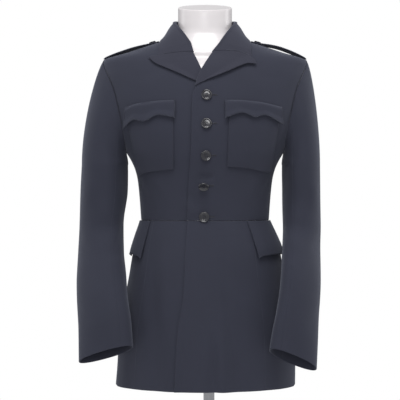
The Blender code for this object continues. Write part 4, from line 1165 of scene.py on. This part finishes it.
def sleeve_grid(side, turns, cap_steps, arm_steps):
    """Points of the sleeve's outer face, from the armhole over the cap and down to the cuff."""
    sign = SIDES[side]
    top_z, cuff_z = SLEEVE[side]["z"][0], SLEEVE[side]["z"][-1]
    t = (np.linspace(0, 1, cap_steps, endpoint=False) ** 1.15)[:, None, None]
    top = ((1 + np.cos(turns)) / 2)[:, None]
    way = unit(np.array((1.0, 0.0, -0.22)) * top + np.array((0.15, 0.0, -1.0)) * (1 - top))
    way = way * np.array((sign, 1, 1))
    start = armhole_point(side, turns) + way * -0.0012
    end = arm_ring(side, top_z, turns)
    length = np.linalg.norm(end - start, axis=1, keepdims=True)
    first = start + way * lerp(0.010, 0.008, top)
    second = end + np.array((0, 0, 0.48)) * length
    s = 1 - t
    cap = start * s**3 + first * 3 * s * s * t + second * 3 * s * t * t + end * t**3
    down = np.linspace(0, 1, arm_steps)[:, None]
    arm = arm_ring(side, lerp(top_z, cuff_z, down), turns[None, :])
    grid = np.concatenate((cap, arm))
    share = np.concatenate((t[:, 0, 0] * CAP_SHARE, CAP_SHARE + down[:, 0] * (1 - CAP_SHARE)))[:, None]
    at = ARM_ROWS[side]
    z = grid[..., 2]
    middle = stack(sign * (at["outer"](z) + at["inner"](z)) / 2, at["centre_y"](z), z)
    lift = sleeve_fold(turns[None, :], share) * (share >= CAP_SHARE) + sleeve_crease(turns[None, :], share)
    lift = lift * step(share / 0.08)
    return grid + unit(grid - middle) * lift[..., None]


def sleeve(side, looks):
    """Two pieces, joined at the forearm seam and the hind arm seam."""
    at = ARM_ROWS[side]
    for name, first, last, count in (
        (f"upper_sleeve_{side}", HINDARM_SEAM - 360, FOREARM_SEAM, 72),
        (f"under_sleeve_{side}", FOREARM_SEAM, HINDARM_SEAM, 40),
    ):
        turns = np.linspace(math.radians(first) + SLEEVE_SEAM, math.radians(last) - SLEEVE_SEAM, count)
        grid = sleeve_grid(side, turns, 34, 76)
        z = grid[..., 2]
        core = stack(SIDES[side] * (at["outer"](z) + at["inner"](z)) / 2, at["centre_y"](z), z)
        cloth(name, grid, looks[0], lining=looks[1], core=core)


LINED_SHARE = 0.93
CORE_TOP_Z = 0.900
CUT_PIECES = {}


def cloth(name, grid, look, wall=WALL, middle=False, lining=None, core=None):
    """One sewn piece: a shell that stands for its solid, turned so that its normals point out."""
    grid = np.asarray(grid, float)
    if core is None:
        core = stack(0, 0, np.minimum(grid[..., 2], CORE_TOP_Z))
    if np.sum(grid_normals(grid) * (grid - core)) < 0:
        grid = grid[:, ::-1]
    looks = [look] if lining is None else [look, lining]
    lined = None if lining is None else int(LINED_SHARE * len(grid))
    obj = shell(f"cloth_{name}", grid, wall, looks, middle=middle, lined_rows=lined)
    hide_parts(name)
    CUT_PIECES[name] = (obj, grid)


def from_edge(values, edge):
    """A grid's lines in order, counted inwards from one of its edges."""
    if edge in ("low", "high"):
        values = np.swapaxes(values, 0, 1)
    return values[::-1] if edge in ("last", "high") else values


def edge_line(grid, edge, inset):
    """Points and normals a little way inside one edge of a grid."""
    lines = from_edge(grid, edge)
    reach = np.linalg.norm(np.diff(lines, axis=0), axis=2)
    reach = np.concatenate((np.zeros((1, reach.shape[1])), np.cumsum(reach, axis=0)))
    points = [
        [np.interp(inset, reach[:, c], lines[:, c, k]) for k in range(3)]
        for c in range(lines.shape[1])
    ]
    return np.array(points), from_edge(grid_normals(grid), edge)[1]


STITCH_PITCH = 0.0032
STITCH_LENGTH = 0.0024
STITCH_WIDTH = 0.00042
# Share along the stitch, share of its width, and height over the cloth
STITCH_RINGS = ((0.0, 0.5, -0.0002), (0.2, 1.0, 0.0002), (0.8, 1.0, 0.0002), (1.0, 0.5, -0.0002))


def stitch_rows(name, lines, look):
    """Short stitches half sunk in the cloth along lines of points and normals."""
    points, faces = [], []
    for path, normals in lines:
        reach = np.concatenate(([0.0], np.cumsum(np.linalg.norm(np.diff(path, axis=0), axis=1))))
        for start in np.arange(STITCH_PITCH, reach[-1] - STITCH_PITCH, STITCH_PITCH):
            ends = [np.array([np.interp(start + d, reach, path[:, k]) for k in range(3)]) for d in (0, STITCH_LENGTH)]
            normal = unit(np.array([np.interp(start, reach, normals[:, k]) for k in range(3)]))
            way = unit(ends[1] - ends[0])
            side = np.cross(way, normal)
            first = len(points)
            for t, size, rise in STITCH_RINGS:
                middle = lerp(ends[0], ends[1], t) + normal * rise
                for a in (0.25, 0.75, 1.25, 1.75):
                    around = side * math.cos(a * math.pi) + normal * math.sin(a * math.pi) * 0.7
                    points.append(middle + around * STITCH_WIDTH * size)
            for ring in range(3):
                for k in range(4):
                    a, b = first + ring * 4 + k, first + ring * 4 + (k + 1) % 4
                    faces.append((a, b, b + 4, a + 4))
            faces.append(tuple(first + k for k in (3, 2, 1, 0)))
            faces.append(tuple(first + 12 + k for k in range(4)))
    points = np.array(points) + np.array((GARMENT_X, 0, 0))
    obj = new_piece(name, points, faces, [look])
    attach(obj, "root")
    return obj


def lathe_mesh(profile, segments):
    """Points and faces of a turned solid, its axis up, from radius and height."""
    rings = [(r, h) for r, h in profile if r > 0]
    points = []
    for radius, height in rings:
        for k in range(segments):
            a = 2 * math.pi * k / segments
            points.append((radius * math.cos(a), radius * math.sin(a), height))
    faces = []
    for ring in range(len(rings) - 1):
        for k in range(segments):
            n = (k + 1) % segments
            low, high = ring * segments, (ring + 1) * segments
            faces.append((low + k, low + n, high + n, high + k))
    points += [(0, 0, profile[0][1]), (0, 0, profile[-1][1])]
    for k in range(segments):
        n = (k + 1) % segments
        faces.append((n, k, len(points) - 2))
        faces.append(((len(rings) - 1) * segments + k, (len(rings) - 1) * segments + n, len(points) - 1))
    return points, faces


def rounded_profile(corners, steps=4):
    """A profile whose corners, given with a radius, are rounded."""
    out = [corners[0][:2]]
    for before, here, after in zip(corners[:-2], corners[1:-1], corners[2:]):
        point, radius = np.array(here[:2]), here[2]
        if radius == 0:
            out.append(tuple(point))
            continue
        a, b = np.array(before[:2]) - point, np.array(after[:2]) - point
        start = point + a / np.linalg.norm(a) * min(radius, np.linalg.norm(a) * 0.49)
        end = point + b / np.linalg.norm(b) * min(radius, np.linalg.norm(b) * 0.49)
        for t in np.linspace(0, 1, steps + 1):
            out.append(tuple(start * (1 - t) ** 2 + point * 2 * t * (1 - t) + end * t * t))
    return out + [corners[-1][:2]]


def button_profile(radius, thick):
    corners = (
        (0.0, 0.0, 0),
        (radius * BUTTON_BACK, 0.0, 0.0005),
        (radius, thick * 0.42, 0.0007),
        (radius * 0.93, thick * 1.02, 0.0009),
        (radius * 0.70, thick * 0.86, 0.0012),
        (radius * 0.62, thick * 0.66, 0.0010),
        (0.0, thick * 0.60, 0),
    )
    return rounded_profile(corners)


def button_body(name, radius, thick, hole, spread):
    """A turned button with four holes, as points and faces."""
    points, faces = lathe_mesh(button_profile(radius, thick), 56)
    mesh = bpy.data.meshes.new(name)
    mesh.from_pydata(points, [], faces)
    work = bmesh.new()
    work.from_mesh(mesh)
    bmesh.ops.recalc_face_normals(work, faces=work.faces)
    work.to_mesh(mesh)
    work.free()
    obj = bpy.data.objects.new(name, mesh)
    bpy.context.scene.collection.objects.link(obj)
    cutters = []
    for x, y in ((1, 1), (1, -1), (-1, 1), (-1, -1)):
        tube, tube_faces = lathe_mesh(((0, -0.002), (hole, -0.002), (hole, thick * 2), (0, thick * 2)), 16)
        cutter_mesh = bpy.data.meshes.new("hole")
        cutter_mesh.from_pydata([(px + x * spread, py + y * spread, pz) for px, py, pz in tube], [], tube_faces)
        cutter = bpy.data.objects.new("hole", cutter_mesh)
        bpy.context.scene.collection.objects.link(cutter)
        cutters.append(cutter)
        cut = obj.modifiers.new("hole", "BOOLEAN")
        cut.operation, cut.solver, cut.object = "DIFFERENCE", "EXACT", cutter
    graph = bpy.context.evaluated_depsgraph_get()
    done = obj.evaluated_get(graph).to_mesh()
    out = [tuple(v.co) for v in done.vertices], [tuple(p.vertices) for p in done.polygons]
    for made in (obj, *cutters):
        bpy.data.objects.remove(made)
    return out


def thread_strand(start, end, rise, radius, sides=6, steps=9):
    """A strand that comes out of one hole and goes down the next."""
    points, faces = [], []
    way = unit(end - start)
    side = np.cross(way, np.array((0, 0, 1.0)))
    for t in np.linspace(0, 1, steps):
        middle = lerp(start, end, t) + np.array((0, 0, rise * math.sin(math.pi * t) ** 0.5))
        for k in range(sides):
            a = 2 * math.pi * k / sides
            points.append(middle + (side * math.cos(a) + np.array((0, 0, 1.0)) * math.sin(a)) * radius)
    for ring in range(steps - 1):
        for k in range(sides):
            n = (k + 1) % sides
            faces.append((ring * sides + k, ring * sides + n, (ring + 1) * sides + n, (ring + 1) * sides + k))
    faces.append(tuple(range(sides))[::-1])
    faces.append(tuple((steps - 1) * sides + k for k in range(sides)))
    return points, faces


def merge(parts):
    points, faces = [], []
    for part_points, part_faces in parts:
        first = len(points)
        points += [tuple(p) for p in part_points]
        faces += [tuple(first + i for i in face) for face in part_faces]
    return points, faces


def button_threads(thick, hole, spread, stem):
    """Two bars of three strands over the holes, and a shank of thread below."""
    parts = []
    for y in (-spread, spread):
        for shift in (-0.00055, 0.0, 0.00055):
            start, end = np.array((-spread, y + shift, thick * 0.45)), np.array((spread, y + shift, thick * 0.45))
            parts.append(thread_strand(start, end, thick * 0.30 + 0.0002, 0.00032))
    parts.append(lathe_mesh(((0, -stem), (0.0021, -stem), (0.0019, 0.0001), (0, 0.0001)), 14))
    return merge(parts)


def place(points, origin, side, up, normal):
    points = np.array(points)
    return origin + points[:, :1] * side + points[:, 1:2] * up + points[:, 2:3] * normal


def seated(point, normal, tip_side=0.0, tip_down=0.0):
    """Origin and axes of a piece that faces along a normal, tipped a little."""
    normal = unit(normal + np.array((tip_side, 0.0, -tip_down)))
    side = np.array((1.0, 0, 0)) if abs(normal[2]) >= 0.9 else unit(np.cross(np.array((0.0, 0.0, 1.0)), normal))
    side = unit(across_only(side, normal))
    return point, side, np.cross(normal, side), normal


HOLE_RADIUS = {"front": 0.00105, "strap": 0.0008}
HOLE_SPREAD = {"front": 0.0019, "strap": 0.0014}
STRAP_THREAD_TURN = 20.0
THREAD_TURN = {1: 6.0, 2: -10.0, 3: 14.0, 4: 0.0, 5: -5.0}


def add_button(name, kind, radius, thick, axes, turn, look, thread, body):
    point, side, up, normal = axes
    a = math.radians(turn)
    axes = point, side * math.cos(a) + up * math.sin(a), up * math.cos(a) - side * math.sin(a), normal
    shift = np.array((GARMENT_X, 0, 0))
    button = new_piece(f"button_{name}", place(body[0], *axes) + shift, body[1], [look])
    button.data.set_sharp_from_angle(angle=math.radians(50))
    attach(button, "root")
    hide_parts(name)
    strands, faces = button_threads(thick, HOLE_RADIUS[kind], HOLE_SPREAD[kind], 0.0009)
    threads = new_piece(f"thread_{name}", place(strands, *axes) + shift, faces, [thread], closed=False)
    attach(threads, "root")


def front_button_axes(row):
    x, z, tip_side, tip_down = row
    points, normals = on_front("left", np.array(((x, z),)))
    tip = math.hypot(tip_side, tip_down)
    lift = SEAM + BUTTON_RADIUS * BUTTON_BACK * math.sin(math.atan(tip))
    return seated(points[0] + normals[0] * lift, normals[0], tip_side, tip_down)


def strap_button_axes(side):
    x, y = SIDES[side] * STRAP_BUTTON_X, STRAP_CENTRE_Y
    along = smooth(STRAP["x"], STRAP["along"])(STRAP_BUTTON_X)
    height = shoulder_top(x, y) + strap_height(side, along) + FLAP_WALL / 2
    slope = (shoulder_top(x + 0.002, y) - shoulder_top(x - 0.002, y)) / 0.004
    normal = unit(np.array((-slope, 0.0, 1.0)))
    return seated(np.array((x, y, height)) + normal * (SEAM + 0.0007), normal)


def buttons(look, thread):
    body = button_body("front", BUTTON_RADIUS, BUTTON_THICK, HOLE_RADIUS["front"], HOLE_SPREAD["front"])
    for number, row in enumerate(zip(*BUTTONS.values()), start=1):
        axes = front_button_axes(row)
        name, turn = f"front_button_{number}", THREAD_TURN[number]
        add_button(name, "front", BUTTON_RADIUS, BUTTON_THICK, axes, turn, look, thread, body)
    small = button_body("strap", STRAP_BUTTON_RADIUS, STRAP_BUTTON_THICK, HOLE_RADIUS["strap"], HOLE_SPREAD["strap"])
    for side in SIDES:
        axes = strap_button_axes(side)
        name, turn = f"epaulette_button_{side}", STRAP_THREAD_TURN
        sizes = STRAP_BUTTON_RADIUS, STRAP_BUTTON_THICK
        add_button(name, "strap", *sizes, axes, turn, look, thread, small)


BUTTONHOLE_LENGTH = 0.0245
BUTTONHOLE_START = -0.0035


def buttonholes(look, dark):
    """Worked buttonholes in the left front, behind each button: a ring of thread round a slit, and a near-black sheet
    of painted shadow along the slit.
    """
    parts, slit_shadows = [], []
    for x, z, _, _ in zip(*BUTTONS.values()):
        xs = x + BUTTONHOLE_START + np.linspace(0, BUTTONHOLE_LENGTH, 20)
        points, normals = on_front("left", stack(xs, np.full(20, z)))
        up = unit(np.cross(np.gradient(points, axis=0), normals)) * -1
        loop = [p + u * 0.0011 for p, u in zip(points, up)] + [p - u * 0.0011 for p, u in zip(points[::-1], up[::-1])]
        around = list(normals) + list(normals[::-1])
        ring, count, sides = [], len(loop), 6
        for k in range(count):
            way = unit(np.array(loop[(k + 1) % count]) - np.array(loop[k - 1]))
            out = np.cross(way, around[k])
            bead = 1.0 + 0.12 * (-1) ** k
            for s in range(sides):
                a = 2 * math.pi * s / sides
                ring.append(np.array(loop[k]) + (out * math.cos(a) + around[k] * math.sin(a) * 0.8) * 0.00075 * bead)
        faces = []
        for k in range(count):
            for s in range(sides):
                n, m = (k + 1) % count, (s + 1) % sides
                faces.append((k * sides + s, k * sides + m, n * sides + m, n * sides + s))
        parts.append((ring, faces))
        # A near-black sheet just over the cloth along the slit: painted shadow standing in for the dark opening
        slit_shade = [p + u * 0.0005 + n * 0.00015 for p, u, n in zip(points, up, normals)]
        slit_shade += [p - u * 0.0005 + n * 0.00015 for p, u, n in zip(points, up, normals)]
        half = len(points)
        slit_shadows.append((slit_shade, [(k, k + 1, half + k + 1, half + k) for k in range(half - 1)]))
    made = []
    for name, source, material in (("buttonhole_edges", parts, look), ("buttonhole_slit_shadows", slit_shadows, dark)):
        points, faces = merge(source)
        points = np.array(points) + np.array((GARMENT_X, 0, 0))
        obj = new_piece(name, points, faces, [material], closed=name == "buttonhole_edges")
        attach(obj, "root")
        made.append(obj)
    return made


def form_rows():
    """The form's rings, which follow the cloth's inner face over the shoulders."""
    drop = WALL + RESTING_GAP
    z = np.array(FORM_SHOULDERS)
    found = {
        "z": z,
        "half_width": BODY.half_width(z + drop),
        "front": BODY.front(z + drop) - FORM_INSET,
        "back": BODY.back(z + drop) - FORM_INSET,
        "power": BODY.power(z),
    }
    return {name: np.concatenate((FORM[name], found[name], FORM_NECK[name])) for name in FORM}


FINE_FORM_SEGMENTS = 112
FINE_NECK_RIM = table(
    "share size",
    (0.30, 1.000),
    (0.60, 1.000),
    (0.90, 1.000),
    (0.955, 0.998),
    (0.980, 0.990),
    (0.994, 0.975),
    (1.000, 0.955),
    (0.997, 0.915),
    (0.990, 0.880),
    (0.988, 0.600),
)


def form_torso(look):
    """The torso and its neck, cut off by a slanting top with a soft rim."""
    body = Rings(form_rows())
    angles = 2 * math.pi * np.arange(FINE_FORM_SEGMENTS) / FINE_FORM_SEGMENTS
    heights = np.interp(np.linspace(0, 1, 96), np.linspace(0, 1, len(FORM_HEIGHTS)), FORM_HEIGHTS)
    rings = [body.point(angles, np.full(FINE_FORM_SEGMENTS, z)) for z in heights]
    low = rings[-1]
    tilt = (low[:, 1] - NECK_CENTRE_Y + NECK_RADIUS) / (2 * NECK_RADIUS)
    for share, size in zip(*FINE_NECK_RIM.values()):
        x, y = low[:, 0] * size, NECK_CENTRE_Y + (low[:, 1] - NECK_CENTRE_Y) * size
        slant = lerp(0.5, tilt, size)
        top = lerp(NECK_TOP_FRONT_Z, NECK_TOP_BACK_Z, slant)
        rings.append(stack(x, y, lerp(low[:, 2], top, share)))
    points = np.concatenate(rings)
    faces = []
    for r in range(len(rings) - 1):
        for k in range(FINE_FORM_SEGMENTS):
            n = (k + 1) % FINE_FORM_SEGMENTS
            a, b = r * FINE_FORM_SEGMENTS, (r + 1) * FINE_FORM_SEGMENTS
            faces.append((a + k, a + n, b + n, b + k))
    points = np.concatenate((points, rings[0].mean(axis=0)[None], rings[-1].mean(axis=0)[None]))
    last = (len(rings) - 1) * FINE_FORM_SEGMENTS
    for k in range(FINE_FORM_SEGMENTS):
        n = (k + 1) % FINE_FORM_SEGMENTS
        faces.append((n, k, len(points) - 2))
        faces.append((last + k, last + n, len(points) - 1))
    obj = new_piece("form_body", points + np.array((GARMENT_X, 0, 0)), faces, [look])
    obj.data.set_sharp_from_angle(angle=math.radians(60))
    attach(obj, "root")
    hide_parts("form_torso")


def stand(look):
    """The pole with its flange and collars, and the round base."""
    base = rounded_profile(
        ((0, 0, 0), (BASE_RADIUS, 0, 0.001), (BASE_RADIUS, BASE_THICK, 0.0045), (0.040, BASE_THICK, 0), (0, BASE_THICK, 0)), 6
    )
    low, top = BASE_THICK + SEAM, FORM_BOTTOM_Z - SEAM
    flange = POLE_RADIUS * 2.2
    pole = rounded_profile(
        (
            (0, low, 0),
            (flange, low, 0.0004),
            (flange, low + 0.0117, 0.0030),
            (POLE_RADIUS * 1.35, low + 0.0195, 0.0050),
            (POLE_RADIUS, low + 0.0220, 0.0010),
            (POLE_RADIUS, top, 0.0004),
            (0, top, 0),
        ),
        5,
    )
    for name, node, profile in (("stand_base", "form_base", base), ("stand_pole", "form_pole", pole)):
        points, faces = lathe_mesh(profile, 96)
        obj = new_piece(name, points, faces, [look])
        obj.data.set_sharp_from_angle(angle=math.radians(40))
        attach(obj, "root")
        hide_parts(node)


def new_material(name, colour, roughness, **sockets):
    """A Principled material, with its node tree, its shader and its constants set."""
    made = bpy.data.materials.new(name)
    made.use_nodes = True
    shader = made.node_tree.nodes["Principled BSDF"]
    shader.inputs["Base Color"].default_value = (*colour, 1.0)
    shader.inputs["Roughness"].default_value = roughness
    for socket, value in sockets.items():
        shader.inputs[socket.replace("_", " ")].default_value = value
    return made, made.node_tree, shader


def add_node(tree, kind, **settings):
    node = tree.nodes.new(kind)
    for name, value in settings.items():
        if hasattr(node, name):
            setattr(node, name, value)
        else:
            node.inputs[name.replace("_", " ")].default_value = value
    return node


def math_node(tree, operation, a, b):
    node = tree.nodes.new("ShaderNodeMath")
    node.operation = operation
    for socket, value in zip(node.inputs, (a, b)):
        if isinstance(value, (int, float)):
            socket.default_value = value
        else:
            tree.links.new(value, socket)
    return node.outputs[0]


def ramp(tree, source, low, high, low_colour, high_colour):
    node = tree.nodes.new("ShaderNodeValToRGB")
    node.color_ramp.elements[0].position, node.color_ramp.elements[1].position = low, high
    node.color_ramp.elements[0].color = (*low_colour, 1)
    node.color_ramp.elements[1].color = (*high_colour, 1)
    tree.links.new(source, node.inputs["Fac"])
    return node.outputs["Color"]


def wool_material(name, dark, light, twill_turn=63.0):
    """Worsted twill: fine diagonal ribs, fibre fuzz, and slow variation in tone."""
    made, tree, shader = new_material(
        name, light, 0.86, Sheen_Weight=0.22, Sheen_Roughness=0.45, Sheen_Tint=(0.62, 0.66, 0.80, 1), Specular_IOR_Level=0.30
    )
    link = tree.links.new
    flat = add_node(tree, "ShaderNodeUVMap", uv_map="cloth")
    turned = add_node(tree, "ShaderNodeMapping")
    turned.inputs["Rotation"].default_value = (0, 0, math.radians(twill_turn))
    link(flat.outputs["UV"], turned.inputs["Vector"])
    ribs = add_node(tree, "ShaderNodeTexWave", Scale=330.0, Distortion=1.4, Detail=2.0, Detail_Scale=1.2)
    link(turned.outputs["Vector"], ribs.inputs["Vector"])
    where = add_node(tree, "ShaderNodeTexCoord")
    fuzz = add_node(tree, "ShaderNodeTexNoise", Scale=1900.0, Detail=3.0, Roughness=0.6)
    slow = add_node(tree, "ShaderNodeTexNoise", Scale=11.0, Detail=3.0, Roughness=0.55)
    flecks = add_node(tree, "ShaderNodeTexNoise", Scale=520.0, Detail=2.0, Roughness=0.7)
    for noise in (fuzz, slow, flecks):
        link(where.outputs["Object"], noise.inputs["Vector"])
    tone = math_node(tree, "MULTIPLY", ribs.outputs["Fac"], 0.22)
    tone = math_node(tree, "ADD", tone, math_node(tree, "MULTIPLY", slow.outputs["Fac"], 0.50))
    tone = math_node(tree, "ADD", tone, math_node(tree, "MULTIPLY", flecks.outputs["Fac"], 0.28))
    link(ramp(tree, tone, 0.25, 0.75, dark, light), shader.inputs["Base Color"])
    height = math_node(tree, "ADD", ribs.outputs["Fac"], math_node(tree, "MULTIPLY", fuzz.outputs["Fac"], 0.8))
    bump = add_node(tree, "ShaderNodeBump", Strength=0.35, Distance=0.00022)
    link(height, bump.inputs["Height"])
    link(bump.outputs["Normal"], shader.inputs["Normal"])
    rough = add_node(tree, "ShaderNodeMapRange", To_Min=0.80, To_Max=0.92)
    link(slow.outputs["Fac"], rough.inputs["Value"])
    link(rough.outputs["Result"], shader.inputs["Roughness"])
    return made


def noise_material(name, dark, light, roughness, scale, bump_height, **sockets):
    """A smooth material with a little variation in colour, and fine relief."""
    made, tree, shader = new_material(name, light, roughness, **sockets)
    where = add_node(tree, "ShaderNodeTexCoord")
    noise = add_node(tree, "ShaderNodeTexNoise", Scale=scale, Detail=4.0, Roughness=0.55, Distortion=0.4)
    tree.links.new(where.outputs["Object"], noise.inputs["Vector"])
    tree.links.new(ramp(tree, noise.outputs["Fac"], 0.30, 0.70, dark, light), shader.inputs["Base Color"])
    if bump_height:
        bump = add_node(tree, "ShaderNodeBump", Strength=0.4, Distance=bump_height)
        tree.links.new(noise.outputs["Fac"], bump.inputs["Height"])
        tree.links.new(bump.outputs["Normal"], shader.inputs["Normal"])
    return made


def area_light(name, place_at, aim, size, watts, colour=(1, 1, 1)):
    data = bpy.data.lights.new(name, "AREA")
    data.shape, data.size, data.size_y = "RECTANGLE", *size
    data.energy, data.color = watts, colour
    obj = bpy.data.objects.new(name, data)
    obj.location = place_at
    way = np.array(aim, float) - np.array(place_at, float)
    obj.rotation_mode = "QUATERNION"
    obj.rotation_quaternion = Vector(way).to_track_quat("-Z", "Y")
    bpy.context.scene.collection.objects.link(obj)


def studio():
    """White surroundings, soft lights, a pale floor and the photograph's camera."""
    scene = bpy.context.scene
    scene.view_settings.view_transform = "Standard"
    world = bpy.data.worlds.new("white_studio")
    scene.world = world
    world.use_nodes = True
    tree = world.node_tree
    seen = tree.nodes["Background"]
    seen.inputs["Color"].default_value = (1, 1, 1, 1)
    seen.inputs["Strength"].default_value = 1.0
    lighting = tree.nodes.new("ShaderNodeBackground")
    lighting.inputs["Color"].default_value = (*AMBIENT_COLOUR, 1)
    lighting.inputs["Strength"].default_value = AMBIENT_STRENGTH
    path, mix = tree.nodes.new("ShaderNodeLightPath"), tree.nodes.new("ShaderNodeMixShader")
    tree.links.new(path.outputs["Is Camera Ray"], mix.inputs["Fac"])
    tree.links.new(lighting.outputs[0], mix.inputs[1])
    tree.links.new(seen.outputs[0], mix.inputs[2])
    tree.links.new(mix.outputs[0], tree.nodes["World Output"].inputs["Surface"])
    for light in LIGHTS:
        area_light(*light)
    low, top = -FLOOR_THICK, -FLOOR_GAP
    corners = ((0, low, 0), (FLOOR_RADIUS, low, 0), (FLOOR_RADIUS, top, 0), (0, top, 0))
    floor_points, floor_faces = lathe_mesh(rounded_profile(corners), 128)
    floor_look, _, _ = new_material("floor_white", (0.82, 0.82, 0.83), 0.6)
    new_piece("floor", floor_points, floor_faces, [floor_look])
    data = bpy.data.cameras.new("camera")
    data.sensor_width, data.lens = 36.0, CAMERA_LENS
    camera = bpy.data.objects.new("camera", data)
    camera.location = (CAMERA_X, -CAMERA_AWAY, CAMERA_Z)
    camera.rotation_euler = (math.pi / 2, 0, 0)
    scene.collection.objects.link(camera)
    scene.camera = camera


FLOOR_RADIUS, FLOOR_THICK, FLOOR_GAP = 1.35, 0.02, 0.0002
CAMERA_X = -0.01925
CAMERA_Z = 0.6945
CAMERA_AWAY = 2.9
CAMERA_LENS = 36.0 * CAMERA_AWAY / (400 * 0.00215)
AMBIENT_COLOUR = (0.97, 0.98, 1.0)
AMBIENT_STRENGTH = 0.42
LIGHTS = (
    ("front_softbox", (-0.25, -3.4, 1.00), (0.0, 0.0, 0.85), (1.1, 1.1), 24.0),
    ("top_softbox", (0.0, -1.2, 2.9), (0.0, 0.0, 0.8), (1.6, 1.2), 40.0),
    ("left_side", (-2.4, 0.5, 1.2), (0.0, 0.0, 0.8), (0.8, 2.0), 10.0),
    ("right_side", (2.4, 0.5, 1.2), (0.0, 0.0, 0.8), (0.8, 2.0), 14.0),
)


def declare_cuts():
    """Works out the flat width, length and area of every cloth piece, and keeps none of it."""
    for name, (obj, grid) in CUT_PIECES.items():
        width, length, area = outline_size(grid)
        width, length = round(width + 0.002, 3), round(length + 0.002, 3)
        area = min(area, width * length)
        trims = TRIMS.get(name, ())
        flat, under = (width, length), ["form_torso"]
        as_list(under)
        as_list(trims)


TRIMS = {}
STITCH_INSET = 0.0022


def add_stitches(thread):
    """Rows of stitching along the edges of the pockets, flaps and straps."""
    for side in SIDES:
        for kind in ("chest_pocket", "chest_flap", "hip_flap", "epaulette"):
            name = f"{kind}_{side}"
            obj, grid = CUT_PIECES[name]
            raised = grid if kind.startswith("chest") else grid + grid_normals(grid) * FLAP_WALL / 2
            lines = [edge_line(raised, edge, STITCH_INSET) for edge in ("last", "low", "high")]
            TRIMS[name] = [stitch_rows(f"stitches_{name}", lines, thread)]


def main():
    studio()
    wool = wool_material("wool_twill", (0.0255, 0.0275, 0.0430), (0.0345, 0.0370, 0.0560))
    facing = wool_material("wool_twill_facing", (0.0280, 0.0290, 0.0440), (0.0375, 0.0385, 0.0570), 27.0)
    lining = noise_material("dark_lining", (0.006, 0.006, 0.010), (0.012, 0.012, 0.019), 0.42, 260.0, 0.0001)
    plastic = noise_material("button_plastic", (0.014, 0.014, 0.018), (0.036, 0.036, 0.044), 0.16, 160.0, 0.0, Coat_Weight=0.5)
    thread = noise_material("sewing_thread", (0.022, 0.023, 0.034), (0.046, 0.048, 0.066), 0.75, 2600.0, 0.0001)
    # Near-black material for the buttonhole slits: painted shadow in the openings
    slit_shade = noise_material("slit_shadow", (0.004, 0.004, 0.006), (0.007, 0.007, 0.010), 0.9, 300.0, 0.0)
    white = noise_material("form_white", (0.735, 0.700, 0.705), (0.765, 0.730, 0.735), 0.30, 6.0, 0.0, Coat_Weight=0.15)
    chrome = noise_material("chrome", (0.55, 0.55, 0.57), (0.62, 0.62, 0.64), 0.10, 30.0, 0.0, Metallic=1.0)
    for side in SIDES:
        front_bodice(side, wool)
        back_bodice(side, wool)
        front_skirt(side, wool)
        side_skirt(side, wool)
        back_skirt(side, wool)
        sleeve(side, (wool, lining))
        lapel(side, facing)
        chest_pocket(side, wool)
        chest_flap(side, wool)
        hip_flap(side, wool)
        epaulette(side, wool)
    collar(facing)
    add_stitches(thread)
    buttons(plastic, thread)
    buttonholes(thread, slit_shade)
    form_torso(white)
    stand(chrome)
    declare_cuts()


main()
